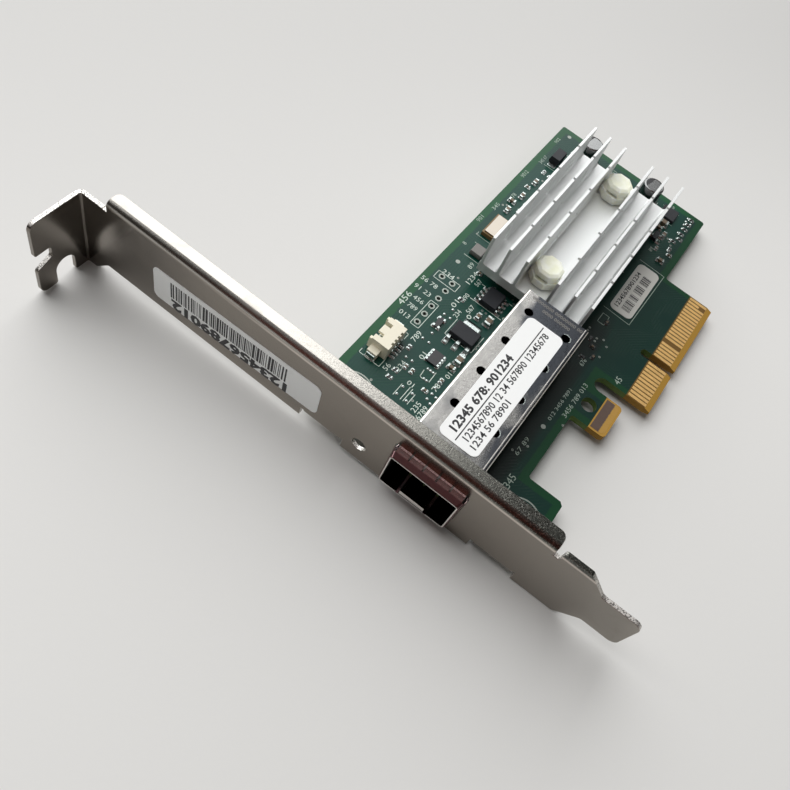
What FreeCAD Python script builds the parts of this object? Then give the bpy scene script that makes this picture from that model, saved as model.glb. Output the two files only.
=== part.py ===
import FreeCAD, Part
import math
import os

from FreeCAD import Vector

# Single-port optical network interface card for a x4 expansion slot, with a full-height bracket.
#
# Frame, in millimetres: the origin is the middle of the key notch, on the tip of the edge
# connector, in the component-side surface of the board.  +X runs away from the bracket, +Y from
# the connector tip to the screw tab of the bracket, +Z out of the component side.

# --- board ---------------------------------------------------------------------------------
BOARD_T = 1.57
BOARD_TOP_Y = 53.6
BOARD_END_MARGIN = 6.1
BOARD_NEAR_X = -56.6
BOARD_LOW_Y = 12.45
BOARD_CORNER_R = 0.6
LEG_FAR_X = -42.1
LEG_LOW_Y = 4.5
LEG_CHAMFER = 0.7
TAB_NEAR_X = -24.5
TAB_FAR_X = -15.7
TAB_LOW_Y = 4.8
TAB_CORNER_R = 1.0
TAB_HOLE_X = -20.0
TAB_HOLE_Y = 10.8
TAB_HOLE_R = 1.65
TAB_CONTACT_LENGTH = 3.1
TAB_CONTACT_MARGIN = 0.45

# --- edge connector ------------------------------------------------------------------------
PIN_PITCH = 1.0
PAD_WIDTH = 0.7
PAD_TOP_Y = 5.6
PAD_T = 0.04
FIRST_PIN_X = 1.5
PIN_COUNT_SHORT = 11
PIN_COUNT_LONG = 21
KEY_WIDTH = 1.9
KEY_DEPTH = 8.25
TONGUE_MARGIN = 0.65
BEVEL_LENGTH = 1.3
BEVEL_DEPTH = 0.45
SHORT_PAD_CUT = 1.6

# --- bracket -------------------------------------------------------------------------------
SHEET_T = 0.86
BEND_R_IN = 0.44
BLADE_OUT_X = -58.93
BLADE_TIP_Y = -14.97
BRACKET_TOP_Y = 105.05
BLADE_LOW_Z = -3.58
FLANGE_Z = 14.84
FLANGE_FREE_X = -55.65
FLANGE_TOP_Y = 98.3
FLANGE_LOW_Y = 3.4
FLANGE_CORNER_R = 1.3
RELIEF = 1.2
TIP_LOW_Z = 0.6
TIP_HIGH_Z = 10.8
TIP_CORNER_R = 1.6
SHOULDER_HIGH_Y = -3.0
SHOULDER_LOW_Y = -3.9
SCREW_TAB_FREE_X = -70.3
SCREW_TAB_HIGH_Z = 12.3
SCREW_TAB_LOW_Z = -6.75
SCREW_TAB_CORNER_R = 1.6
NECK_LOW_Y = 98.9
SCREW_NOTCH_X = -64.2
SCREW_NOTCH_W = 4.42
SCREW_NOTCH_TOP_Z = -1.35
SIDE_NOTCH_HIGH_Z = 4.0
SIDE_NOTCH_LOW_Z = 1.4
SIDE_NOTCH_X = -66.7
SIDE_NOTCH_SLANT = 1.5
EAR_YS = (47.87, 9.75)
EAR_RELIEF = 0.65
EAR_W = 8.2
EAR_END_X = -46.4
EAR_SCREW_X = -50.2
LED_HOLE_Y = 40.0
LED_HOLE_Z = 1.2
LED_HOLE_R = 1.5

# --- bracket screws ------------------------------------------------------------------------
SCREW_R = 1.45
SCREW_CLEARANCE = 0.15
SCREW_HEAD_R = 3.0
SCREW_HEAD_H = 1.9
SCREW_TIP_OUT = 0.7

# --- transceiver cage ----------------------------------------------------------------------
CAGE_Y = 26.65
CAGE_PROUD = 2.3
CAGE_LENGTH = 47.7
CAGE_W = 13.9
CAGE_SHEET_T = 0.2
CAGE_FOOT_Z = 0.14
CAGE_TOP_Z = 9.74
NOSE_TOP_Z = 9.34
NOSE_LENGTH = 4.4
COVER_FLAP_H = 4.2
CAGE_CUTOUT_GAP = 0.6
CUTOUT_TOP_Z = 10.2
CUTOUT_LOW_Z = -0.5
CAGE_CUTOUT_R = 0.6
VENT_R = 0.95
VENT_FIRST_X = -18.4
VENT_PITCH = 8.95
VENT_COUNT = 4
VENT_ROW_OFFSET = 4.3
CAGE_PIN_W = 0.55
CAGE_PIN_DROP = 0.9
CAGE_PIN_XS = (-52.0, -41.5, -31.0, -18.0)
CAGE_PIN_HOLE_R = 0.45
LATCH_W = 5.4
LATCH_LENGTH = 9.5
LATCH_SLIT = 0.55
LATCH_BAR_L = 0.95
LATCH_RISE = 1.05
LATCH_GUIDE_X = 0.85
LATCH_GUIDE_L = 1.1
LATCH_GUIDE_W = 0.25
LATCH_GUIDE_H = 1.1
FINGER_T = 0.12
FINGER_PITCH = 2.8
FINGER_GAP = 0.35
FINGER_COUNT_WIDE = 5
FINGER_COUNT_HIGH = 3
FINGER_BULGE = 0.42
COLLAR_FLARE = 0.3
COLLAR_START = 0.05
COLLAR_L = 1.1

# --- cage connector ------------------------------------------------------------------------
HOST_SETBACK = 10.07
HOST_L = 8.2
HOST_W = 11.6
HOST_H = 5.6
HOST_SLOT_W = 9.4
HOST_SLOT_H = 1.25
HOST_SLOT_Z = 3.1
HOST_SLOT_DEPTH = 5.0
HOST_STANDOFF = 0.1
HOST_PITCH = 0.8
HOST_CONTACT_COUNT = 10
HOST_CONTACT_W = 0.34
HOST_CONTACT_T = 0.2
HOST_TAIL = 1.1

# --- heat sink and controller --------------------------------------------------------------
SINK_CAGE_GAP = 2.78
SINK_Y = 33.4
SINK_L = 45.7
SINK_W = 24.3
SINK_SEAT_Z = 2.5
SINK_BASE_T = 2.3
SINK_TOP_Z = 12.6
FIN_T = 0.6
FIN_OFFSETS = (3.7, 7.75, 11.725)
FIN_ROOT = 0.35
CROSS_SLOT_W = 0.6
CROSS_SLOT_PITCH = 9.34
SINK_PIN_OFFSET = 16.6
SINK_PIN_HOLE_R = 1.7
CHIP_STANDOFF = 0.3
CHIP_W = 17.0
CHIP_T = 1.1
DIE_W = 8.6
DIE_T = 0.75
PIN_SHANK_R = 1.35
PIN_BOARD_CLEARANCE = 0.15
PIN_HEAD_W = 6.1
PIN_SKIRT_GAP = 0.35
PIN_SKIRT_H = 1.9
PIN_CAP_H = 2.3
PIN_WINDOW_W = 2.8
PIN_WINDOW_H = 0.85
PIN_BARB_R = 1.95
PIN_BARB_H = 2.0
SPRING_WIRE_R = 0.2
SPRING_R = 1.8
SPRING_TURN_COUNT = 2
SPRING_STEP_COUNT = 12

# --- parts along the edges -----------------------------------------------------------------
CAN_SINK_GAP = 4.35
CAN_YS = (44.4, 27.2)
CAN_R = 2.5
CAN_H = 4.5
CAN_BASE_W = 5.3
CAN_BASE_H = 0.9
CAN_LEAD_T = 0.15
WIRE_PORT_X = -37.5
WIRE_PORT_Y = 49.3
WIRE_PORT_W = 6.4
WIRE_PORT_DEPTH = 4.4
WIRE_PORT_H = 3.6
WIRE_PORT_WALL = 0.65
WIRE_PORT_EAR_W = 1.5
WIRE_PORT_PIN_COUNT = 4
WIRE_PORT_PITCH = 1.04
WIRE_PIN_W = 0.4
LED_W = 2.6
LED_BASE_L = 1.3
LED_H = 1.9
LED_LENS_L = 1.0

# --- labels and test points ----------------------------------------------------------------
LABEL_T = 0.1
CAGE_LABEL_L = 33.0
CAGE_LABEL_W = 8.2
CAGE_LABEL_X = -35.5
CAGE_LABEL_Y = 26.3
BRACKET_LABEL_L = 37.9
BRACKET_LABEL_W = 8.5
BRACKET_LABEL_Y = 68.5
BRACKET_LABEL_Z = 4.0
BRACKET_LABEL_TILT = 2.0
BOARD_LABEL_L = 16.5
BOARD_LABEL_W = 5.5
BOARD_LABEL_X = 13.25
BOARD_LABEL_Y = 16.45
LABEL_CORNER_R = 1.3
TEST_POINT_R = 0.76
TEST_BARREL_R = 0.55
TEST_HOLE_R = 0.43
TEST_PITCH = 2.6
TEST_ROW_X = -15.8
TEST_ROW_Y = 47.45
TEST_COUNT = 6

# --- packaged parts: (length, width, height, stand-off) and where they stand ----------------
REGULATOR_X = -25.1
REGULATOR_Y = 38.5
REGULATOR_BODY = (5.7, 4.0, 1.55, 0.05)
REGULATOR_LEAD_PITCH = 2.27
REGULATOR_LEAD_W = 0.72
REGULATOR_TAB_W = 3.6
REGULATOR_REACH = 2.0
MEMORY_SINK_GAP = 2.75
MEMORY_Y = 38.85
MEMORY_BODY = (4.9, 3.9, 1.4, 0.1)
MEMORY_LEAD_PITCH = 1.27
MEMORY_LEAD_W = 0.41
TRANSISTOR_BODY = (2.9, 1.3, 0.95, 0.05)
TRANSISTOR_LEAD_PITCH = 1.9
TRANSISTOR_LEAD_W = 0.42
SMALL_LEAD_REACH = 1.0
OSCILLATOR_X = 3.65
OSCILLATOR_Y = 47.8
OSCILLATOR_L = 7.0
OSCILLATOR_W = 5.0
OSCILLATOR_H = 1.0
OSCILLATOR_RIM = 0.4
OSCILLATOR_LID_T = 0.35
INDUCTOR_X = -5.0
INDUCTOR_Y = 47.9
INDUCTOR_L = 3.0
INDUCTOR_W = 2.9
INDUCTOR_H = 1.3
ARRAY_H = 0.55
ARRAY_END_W = 0.5
ARRAY_END_L = 0.4
BUFFER_X = 40.2
BUFFER_Y = 20.6
BUFFER_W = 4.0
BUFFER_H = 0.9
DIODE_X = 33.4
DIODE_Y = 49.2
DIODE_L = 4.3
DIODE_W = 2.6
DIODE_H = 1.9
DIODE_LEAD_OUT = 0.45
DIODE_LEAD_L = 1.0
DIODE_LEAD_W = 1.5
DIODE_LEAD_T = 0.2

# --- derived places ------------------------------------------------------------------------
BLADE_IN_X = BLADE_OUT_X + SHEET_T
BEND_R_OUT = BEND_R_IN + SHEET_T
CAGE_FRONT_X = BLADE_OUT_X - CAGE_PROUD
CAGE_REAR_X = CAGE_FRONT_X + CAGE_LENGTH
NOSE_REAR_X = CAGE_FRONT_X + NOSE_LENGTH
COVER_W = CAGE_W + 2 * CAGE_SHEET_T
HOST_FRONT_X = CAGE_REAR_X - HOST_SETBACK
SINK_NEAR_X = CAGE_REAR_X + SINK_CAGE_GAP
SINK_X = SINK_NEAR_X + SINK_L / 2
CAN_X = SINK_X + SINK_L / 2 + CAN_SINK_GAP
BOARD_FAR_X = CAN_X + BOARD_END_MARGIN
MEMORY_X = SINK_NEAR_X - MEMORY_SINK_GAP
SINK_BASE_Z = SINK_SEAT_Z + SINK_BASE_T
TONGUE_NEAR_X = -(FIRST_PIN_X + (PIN_COUNT_SHORT - 1) * PIN_PITCH + TONGUE_MARGIN)
TONGUE_FAR_X = FIRST_PIN_X + (PIN_COUNT_LONG - 1) * PIN_PITCH + TONGUE_MARGIN
SINK_PIN_XS = (SINK_X - SINK_PIN_OFFSET, SINK_X + SINK_PIN_OFFSET)
CAPTIVE = 0.02


# --- shape helpers -------------------------------------------------------------------------
def in_plane(plane, u, v, level):
    """Return the point with in-plane coordinates u, v at the given level along the normal."""
    if plane == "XY":
        return Vector(u, v, level)
    if plane == "YZ":
        return Vector(level, u, v)
    return Vector(u, level, v)


def rounded_wire(corners, plane, level):
    """Close a wire through (u, v) or (u, v, radius) corners, each radius being a tangent arc."""
    count = len(corners)
    starts, ends, middles = [], [], []
    for i, corner in enumerate(corners):
        here = Vector(corner[0], corner[1], 0)
        radius = corner[2] if len(corner) > 2 else 0.0
        if radius <= 0:
            starts.append(here)
            ends.append(here)
            middles.append(None)
            continue
        before = Vector(corners[i - 1][0], corners[i - 1][1], 0) - here
        after = Vector(corners[(i + 1) % count][0], corners[(i + 1) % count][1], 0) - here
        before.normalize()
        after.normalize()
        half = before.getAngle(after) / 2
        reach = radius / math.tan(half)
        bisector = (before + after).normalize()
        centre = here + bisector * (radius / math.sin(half))
        starts.append(here + before * reach)
        ends.append(here + after * reach)
        middles.append(centre - bisector * radius)
    edges = []
    for i in range(count):
        if middles[i] is not None:
            arc = [in_plane(plane, p.x, p.y, level) for p in (starts[i], middles[i], ends[i])]
            edges.append(Part.Arc(*arc).toShape())
        nearby = starts[(i + 1) % count]
        if (nearby - ends[i]).Length > 1e-5:
            line = [in_plane(plane, p.x, p.y, level) for p in (ends[i], nearby)]
            edges.append(Part.makeLine(*line))
    return Part.Wire(edges)


def prism(corners, plane, low, high):
    """Extrude a rounded outline between two levels along the normal of its plane."""
    face = Part.Face(rounded_wire(corners, plane, low))
    return face.extrude(in_plane(plane, 0, 0, high - low))


def block(x0, x1, y0, y1, z0, z1):
    """Box between two opposite corners."""
    return Part.makeBox(x1 - x0, y1 - y0, z1 - z0, Vector(x0, y0, z0))


def slab(x, y, length, width, z0, z1):
    """Box centred on x, y."""
    return block(x - length / 2, x + length / 2, y - width / 2, y + width / 2, z0, z1)


def upright(x, y, radius, z0, z1):
    """Cylinder with a vertical axis."""
    return Part.makeCylinder(radius, z1 - z0, Vector(x, y, z0))


def rounded_slab(x, y, length, width, radius, z0, z1):
    """Flat rectangle with round corners."""
    half_l, half_w = length / 2, width / 2
    corners = [(x - half_l, y - half_w, radius), (x + half_l, y - half_w, radius),
               (x + half_l, y + half_w, radius), (x - half_l, y + half_w, radius)]
    return prism(corners, "XY", z0, z1)


def ring_points(x, y, radius, sides, z):
    """Closed polygon of equal sides about the vertical axis through x, y."""
    points = [Vector(x + radius * math.cos(a), y + radius * math.sin(a), z)
              for a in ((k + 0.5) * 2 * math.pi / sides for k in range(sides))]
    return Part.makePolygon(points + points[:1])


def faceted(x, y, radius, z0, z1, sides=8):
    """Small upright post or hole with flat facets."""
    return Part.Face(ring_points(x, y, radius, sides, z0)).extrude(Vector(0, 0, z1 - z0))


def turned(profile, x, y):
    """Revolve (radius, z) points about the vertical axis through x, y."""
    points = [Vector(x + r, y, z) for r, z in profile]
    face = Part.Face(Part.makePolygon(points + points[:1]))
    return face.revolve(Vector(x, y, 0), Vector(0, 0, 1), 360)


def post(x, y, profile, sides):
    """Solid with flat facets through (radius, z) stages about the vertical axis through x, y."""
    wires = [ring_points(x, y, radius, sides, z) for radius, z in profile]
    return Part.makeLoft(wires, True, True)


def lofted(x, y, stages):
    """Solid through centred rectangles given as (length, width, z)."""
    wires = []
    for length, width, z in stages:
        half_l, half_w = length / 2, width / 2
        corners = [(x - half_l, y - half_w), (x + half_l, y - half_w),
                   (x + half_l, y + half_w), (x - half_l, y + half_w)]
        wires.append(rounded_wire(corners, "XY", z))
    return Part.makeLoft(wires, True, True)


def octagon_loft(x, y, stages):
    """Solid through centred octagons given as (width across flats, z)."""
    across_corners = 1 / math.cos(math.pi / 8)
    wires = [ring_points(x, y, width / 2 * across_corners, 8, z) for width, z in stages]
    return Part.makeLoft(wires, True, True)


def joined(shapes):
    """Fuse shapes into one clean solid."""
    shapes = list(shapes)
    whole = shapes[0].multiFuse(shapes[1:]) if len(shapes) > 1 else shapes[0]
    return whole.removeSplitter()


def carved(body, *tools):
    """Cut tools out of a body."""
    return body.cut(Part.makeCompound(list(tools))).removeSplitter()


def quarter_turned(shape, x, y, turns):
    """Turn a shape about the vertical axis through x, y by quarter turns."""
    copy = shape.copy()
    copy.rotate(Vector(x, y, 0), Vector(0, 0, 1), 90 * turns)
    return copy


def save(name, *solids):
    """Write one sub-part, as one solid or as a group of separate solids."""
    group = []
    for shape in solids:
        group.extend(shape.Solids)
    whole = group[0] if len(group) == 1 else Part.makeCompound(group)
    whole.exportStep(os.path.join("parts", name + ".step"))


# --- circuit board -------------------------------------------------------------------------
def pin_places():
    """X of every contact on the tongue, from the short side of the key to the long side."""
    near = [-(FIRST_PIN_X + k * PIN_PITCH) for k in reversed(range(PIN_COUNT_SHORT))]
    far = [FIRST_PIN_X + k * PIN_PITCH for k in range(PIN_COUNT_LONG)]
    return near + far


def test_point_places():
    """Plated test points: a row along the top of the board and one beside its end."""
    row = [(TEST_ROW_X - k * TEST_PITCH, TEST_ROW_Y) for k in range(TEST_COUNT)]
    return [(TEST_ROW_X, TEST_ROW_Y + TEST_PITCH)] + row


def cage_pin_places():
    """Feet of the cage, on both side walls."""
    side = CAGE_W / 2 - CAGE_SHEET_T / 2
    return [(x, CAGE_Y + side * s) for x in CAGE_PIN_XS for s in (-1, 1)]


def circuit_board():
    """Laminate with the slot tongue, key notch, small tab, bracket leg and all drilled holes."""
    slot = (TONGUE_NEAR_X - TAB_FAR_X) / 2
    key = KEY_WIDTH / 2
    corners = [
        (BOARD_NEAR_X, LEG_LOW_Y),
        (LEG_FAR_X - LEG_CHAMFER, LEG_LOW_Y), (LEG_FAR_X, LEG_LOW_Y + LEG_CHAMFER),
        (LEG_FAR_X, BOARD_LOW_Y, BOARD_CORNER_R),
        (TAB_NEAR_X, BOARD_LOW_Y, BOARD_CORNER_R), (TAB_NEAR_X, TAB_LOW_Y, TAB_CORNER_R),
        (TAB_FAR_X, TAB_LOW_Y, TAB_CORNER_R),
        (TAB_FAR_X, BOARD_LOW_Y, slot), (TONGUE_NEAR_X, BOARD_LOW_Y, slot),
        (TONGUE_NEAR_X, 0), (-key, 0),
        (-key, KEY_DEPTH, key), (key, KEY_DEPTH, key),
        (key, 0), (TONGUE_FAR_X, 0),
        (TONGUE_FAR_X, BOARD_LOW_Y, BOARD_CORNER_R),
        (BOARD_FAR_X, BOARD_LOW_Y, BOARD_CORNER_R), (BOARD_FAR_X, BOARD_TOP_Y, BOARD_CORNER_R),
        (BOARD_NEAR_X, BOARD_TOP_Y, BOARD_CORNER_R),
    ]
    board = prism(corners, "XY", -BOARD_T, 0)
    slope = BEVEL_DEPTH / BEVEL_LENGTH
    tools = []
    for top, side in ((0.0, 1), (-BOARD_T, -1)):
        wedge = [(-1.0, top + side), (BEVEL_LENGTH + 1 / slope, top + side),
                 (-1.0, top - side * (BEVEL_DEPTH + slope))]
        tools.append(prism(wedge, "YZ", TONGUE_NEAR_X - 1, TONGUE_FAR_X + 1))
    through = (-BOARD_T - 1, 1)
    tools.append(upright(TAB_HOLE_X, TAB_HOLE_Y, TAB_HOLE_R, *through))
    tools += [upright(EAR_SCREW_X, y, SCREW_R + SCREW_CLEARANCE, *through) for y in EAR_YS]
    tools += [upright(x, SINK_Y, PIN_SHANK_R + PIN_BOARD_CLEARANCE, *through) for x in SINK_PIN_XS]
    tools += [faceted(x, y, CAGE_PIN_HOLE_R, *through) for x, y in cage_pin_places()]
    tools += [faceted(x, y, TEST_BARREL_R, *through) for x, y in test_point_places()]
    return carved(board, *tools)


def edge_contacts(side, missing, short):
    """Gold contacts of one side; side is +1 for the component side and -1 for the solder side."""
    low, high = (0.0, PAD_T) if side > 0 else (-BOARD_T - PAD_T, -BOARD_T)
    pads = []
    for number, x in enumerate(pin_places(), start=1):
        if number in missing:
            continue
        tip = BEVEL_LENGTH + (SHORT_PAD_CUT if number in short else 0.0)
        pads.append(block(x - PAD_WIDTH / 2, x + PAD_WIDTH / 2, tip, PAD_TOP_Y, low, high))
    return pads


def tab_contacts():
    """Gold strips on both faces of the small tab beside the slot."""
    x0, x1 = TAB_NEAR_X + TAB_CONTACT_MARGIN, TAB_FAR_X - TAB_CONTACT_MARGIN
    y0 = TAB_LOW_Y + TAB_CONTACT_MARGIN
    y1 = y0 + TAB_CONTACT_LENGTH
    cut = TAB_CORNER_R - TAB_CONTACT_MARGIN / 2
    outline = [(x0, y0 + cut), (x0 + cut, y0), (x1 - cut, y0), (x1, y0 + cut), (x1, y1), (x0, y1)]
    return [prism(outline, "XY", 0.0, PAD_T), prism(outline, "XY", -BOARD_T - PAD_T, -BOARD_T)]


def test_points():
    """Plated barrels through the board, each with a flange on the component side."""
    points = []
    for x, y in test_point_places():
        barrel = faceted(x, y, TEST_BARREL_R, -BOARD_T - PAD_T, 0)
        ring = faceted(x, y, TEST_POINT_R, 0, PAD_T)
        hole = faceted(x, y, TEST_HOLE_R, -BOARD_T - 1, 1)
        points.append(barrel.fuse(ring).cut(hole))
    return points


# --- bracket -------------------------------------------------------------------------------
def blade():
    """Flat of the bracket up to its bends, with the neck, shoulders and slot tongue."""
    flange_start = FLANGE_Z - BEND_R_OUT
    relief_z = SCREW_TAB_HIGH_Z - 0.1
    slope_high = FLANGE_Z - TIP_HIGH_Z
    slope_low = TIP_LOW_Z - BLADE_LOW_Z
    neck_step = BLADE_LOW_Z - SCREW_TAB_LOW_Z
    corners = [
        (BRACKET_TOP_Y - BEND_R_OUT, SCREW_TAB_HIGH_Z), (FLANGE_TOP_Y + 1, SCREW_TAB_HIGH_Z),
        (FLANGE_TOP_Y + 1, relief_z), (FLANGE_TOP_Y, relief_z), (FLANGE_TOP_Y, flange_start),
        (FLANGE_LOW_Y, flange_start), (FLANGE_LOW_Y, relief_z),
        (FLANGE_LOW_Y - RELIEF, relief_z), (FLANGE_LOW_Y - RELIEF, FLANGE_Z, 0.4),
        (SHOULDER_HIGH_Y, FLANGE_Z, 0.6), (SHOULDER_HIGH_Y - slope_high, TIP_HIGH_Z, 1.5),
        (BLADE_TIP_Y, TIP_HIGH_Z, TIP_CORNER_R), (BLADE_TIP_Y, TIP_LOW_Z, TIP_CORNER_R),
        (SHOULDER_LOW_Y - slope_low, TIP_LOW_Z, 1.5), (SHOULDER_LOW_Y, BLADE_LOW_Z, 0.6),
        (NECK_LOW_Y, BLADE_LOW_Z, 0.6), (NECK_LOW_Y + neck_step, SCREW_TAB_LOW_Z, 0.6),
        (BRACKET_TOP_Y - BEND_R_OUT, SCREW_TAB_LOW_Z),
    ]
    sheet = prism(corners, "YZ", BLADE_OUT_X, BLADE_IN_X)
    ear_top = -BOARD_T - SHEET_T + BEND_R_OUT
    tools = []
    for y in EAR_YS:
        reach = EAR_W / 2 + EAR_RELIEF
        tools.append(block(BLADE_OUT_X - 1, BLADE_IN_X + 1, y - reach, y + reach,
                           BLADE_LOW_Z - 1, ear_top))
    half_w = CAGE_W / 2 + CAGE_CUTOUT_GAP
    port = [(CAGE_Y - half_w, CUTOUT_LOW_Z, CAGE_CUTOUT_R),
            (CAGE_Y + half_w, CUTOUT_LOW_Z, CAGE_CUTOUT_R),
            (CAGE_Y + half_w, CUTOUT_TOP_Z, CAGE_CUTOUT_R),
            (CAGE_Y - half_w, CUTOUT_TOP_Z, CAGE_CUTOUT_R)]
    tools.append(prism(port, "YZ", BLADE_OUT_X - 1, BLADE_IN_X + 1))
    tools.append(Part.makeCylinder(LED_HOLE_R, SHEET_T + 2,
                                   Vector(BLADE_OUT_X - 1, LED_HOLE_Y, LED_HOLE_Z),
                                   Vector(1, 0, 0)))
    return carved(sheet, *tools)


def flange():
    """Long stiffening flange along the component side, with its bend."""
    length = FLANGE_TOP_Y - FLANGE_LOW_Y
    centre_x = BLADE_OUT_X + BEND_R_OUT
    centre_z = FLANGE_Z - BEND_R_OUT
    corners = [(centre_x, FLANGE_LOW_Y), (FLANGE_FREE_X, FLANGE_LOW_Y, FLANGE_CORNER_R),
               (FLANGE_FREE_X, FLANGE_TOP_Y, FLANGE_CORNER_R), (centre_x, FLANGE_TOP_Y)]
    flat = prism(corners, "XY", FLANGE_Z - SHEET_T, FLANGE_Z)
    outer = [(BLADE_OUT_X, centre_z), (BLADE_OUT_X, FLANGE_Z, BEND_R_OUT), (centre_x, FLANGE_Z),
             (centre_x, FLANGE_Z - SHEET_T),
             (BLADE_IN_X, FLANGE_Z - SHEET_T, BEND_R_IN), (BLADE_IN_X, centre_z)]
    bend = prism(outer, "XZ", FLANGE_LOW_Y, FLANGE_LOW_Y + length)
    return [flat, bend]


def screw_tab():
    """Tab turned outwards at the top, with its open screw notch, side notch and bend."""
    centre_x = BLADE_IN_X - BEND_R_OUT
    centre_y = BRACKET_TOP_Y - BEND_R_OUT
    notch = SCREW_NOTCH_W / 2
    corners = [
        (centre_x, SCREW_TAB_LOW_Z), (centre_x, SCREW_TAB_HIGH_Z),
        (SCREW_TAB_FREE_X, SCREW_TAB_HIGH_Z, SCREW_TAB_CORNER_R),
        (SCREW_TAB_FREE_X, SIDE_NOTCH_HIGH_Z, 0.4), (SIDE_NOTCH_X, SIDE_NOTCH_HIGH_Z, 0.6),
        (SIDE_NOTCH_X, SIDE_NOTCH_LOW_Z, 0.6),
        (SCREW_TAB_FREE_X, SIDE_NOTCH_LOW_Z - SIDE_NOTCH_SLANT, 0.9),
        (SCREW_TAB_FREE_X, SCREW_TAB_LOW_Z, SCREW_TAB_CORNER_R),
        (SCREW_NOTCH_X - notch, SCREW_TAB_LOW_Z, 0.5),
        (SCREW_NOTCH_X - notch, SCREW_NOTCH_TOP_Z, notch),
        (SCREW_NOTCH_X + notch, SCREW_NOTCH_TOP_Z, notch),
        (SCREW_NOTCH_X + notch, SCREW_TAB_LOW_Z, 0.5),
    ]
    flat = prism(corners, "XZ", BRACKET_TOP_Y - SHEET_T, BRACKET_TOP_Y)
    bend = [(BLADE_IN_X, centre_y), (BLADE_IN_X, BRACKET_TOP_Y, BEND_R_OUT),
            (centre_x, BRACKET_TOP_Y), (centre_x, BRACKET_TOP_Y - SHEET_T),
            (BLADE_OUT_X, BRACKET_TOP_Y - SHEET_T, BEND_R_IN), (BLADE_OUT_X, centre_y)]
    return [flat, prism(bend, "XY", SCREW_TAB_LOW_Z, SCREW_TAB_HIGH_Z)]


def ears():
    """Two ears folded under the board, each with a threaded hole and a round end."""
    pieces = []
    top = -BOARD_T
    centre_x = BLADE_OUT_X + BEND_R_OUT
    centre_z = top - SHEET_T + BEND_R_OUT
    for y in EAR_YS:
        half = EAR_W / 2
        outline = [(centre_x, y - half), (EAR_END_X, y - half, half * 0.9),
                   (EAR_END_X, y + half, half * 0.9), (centre_x, y + half)]
        hole = upright(EAR_SCREW_X, y, SCREW_R, top - SHEET_T - 1, top + 1)
        pieces.append(prism(outline, "XY", top - SHEET_T, top).cut(hole))
        bend = [(BLADE_OUT_X, centre_z), (BLADE_OUT_X, top - SHEET_T, BEND_R_OUT),
                (centre_x, top - SHEET_T), (centre_x, top), (BLADE_IN_X, top, BEND_R_IN),
                (BLADE_IN_X, centre_z)]
        pieces.append(prism(bend, "XZ", y - half, y + half))
    return pieces


def io_bracket():
    """The whole bracket, cut and folded from one sheet."""
    return joined([blade()] + flange() + screw_tab() + ears())


def bracket_screws():
    """Pan-head screws through the board into the ears."""
    tip = -BOARD_T - SHEET_T - SCREW_TIP_OUT
    screws = []
    for y in EAR_YS:
        dome = [(SCREW_HEAD_R, 0), (SCREW_HEAD_R, SCREW_HEAD_H * 0.25),
                (SCREW_HEAD_R * 0.93, SCREW_HEAD_H * 0.62), (SCREW_HEAD_R * 0.6, SCREW_HEAD_H)]
        shank = upright(EAR_SCREW_X, y, SCREW_R, tip, SCREW_HEAD_H * 0.1)
        screw = joined([post(EAR_SCREW_X, y, dome, 16), shank])
        for length, width in ((3.2, 0.7), (0.7, 3.2)):
            recess = lofted(EAR_SCREW_X, y, [(length * 0.35, width * 0.6, SCREW_HEAD_H * 0.25),
                                             (length, width, SCREW_HEAD_H + 0.1)])
            screw = screw.cut(recess)
        screws.append(screw)
    return screws


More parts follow.
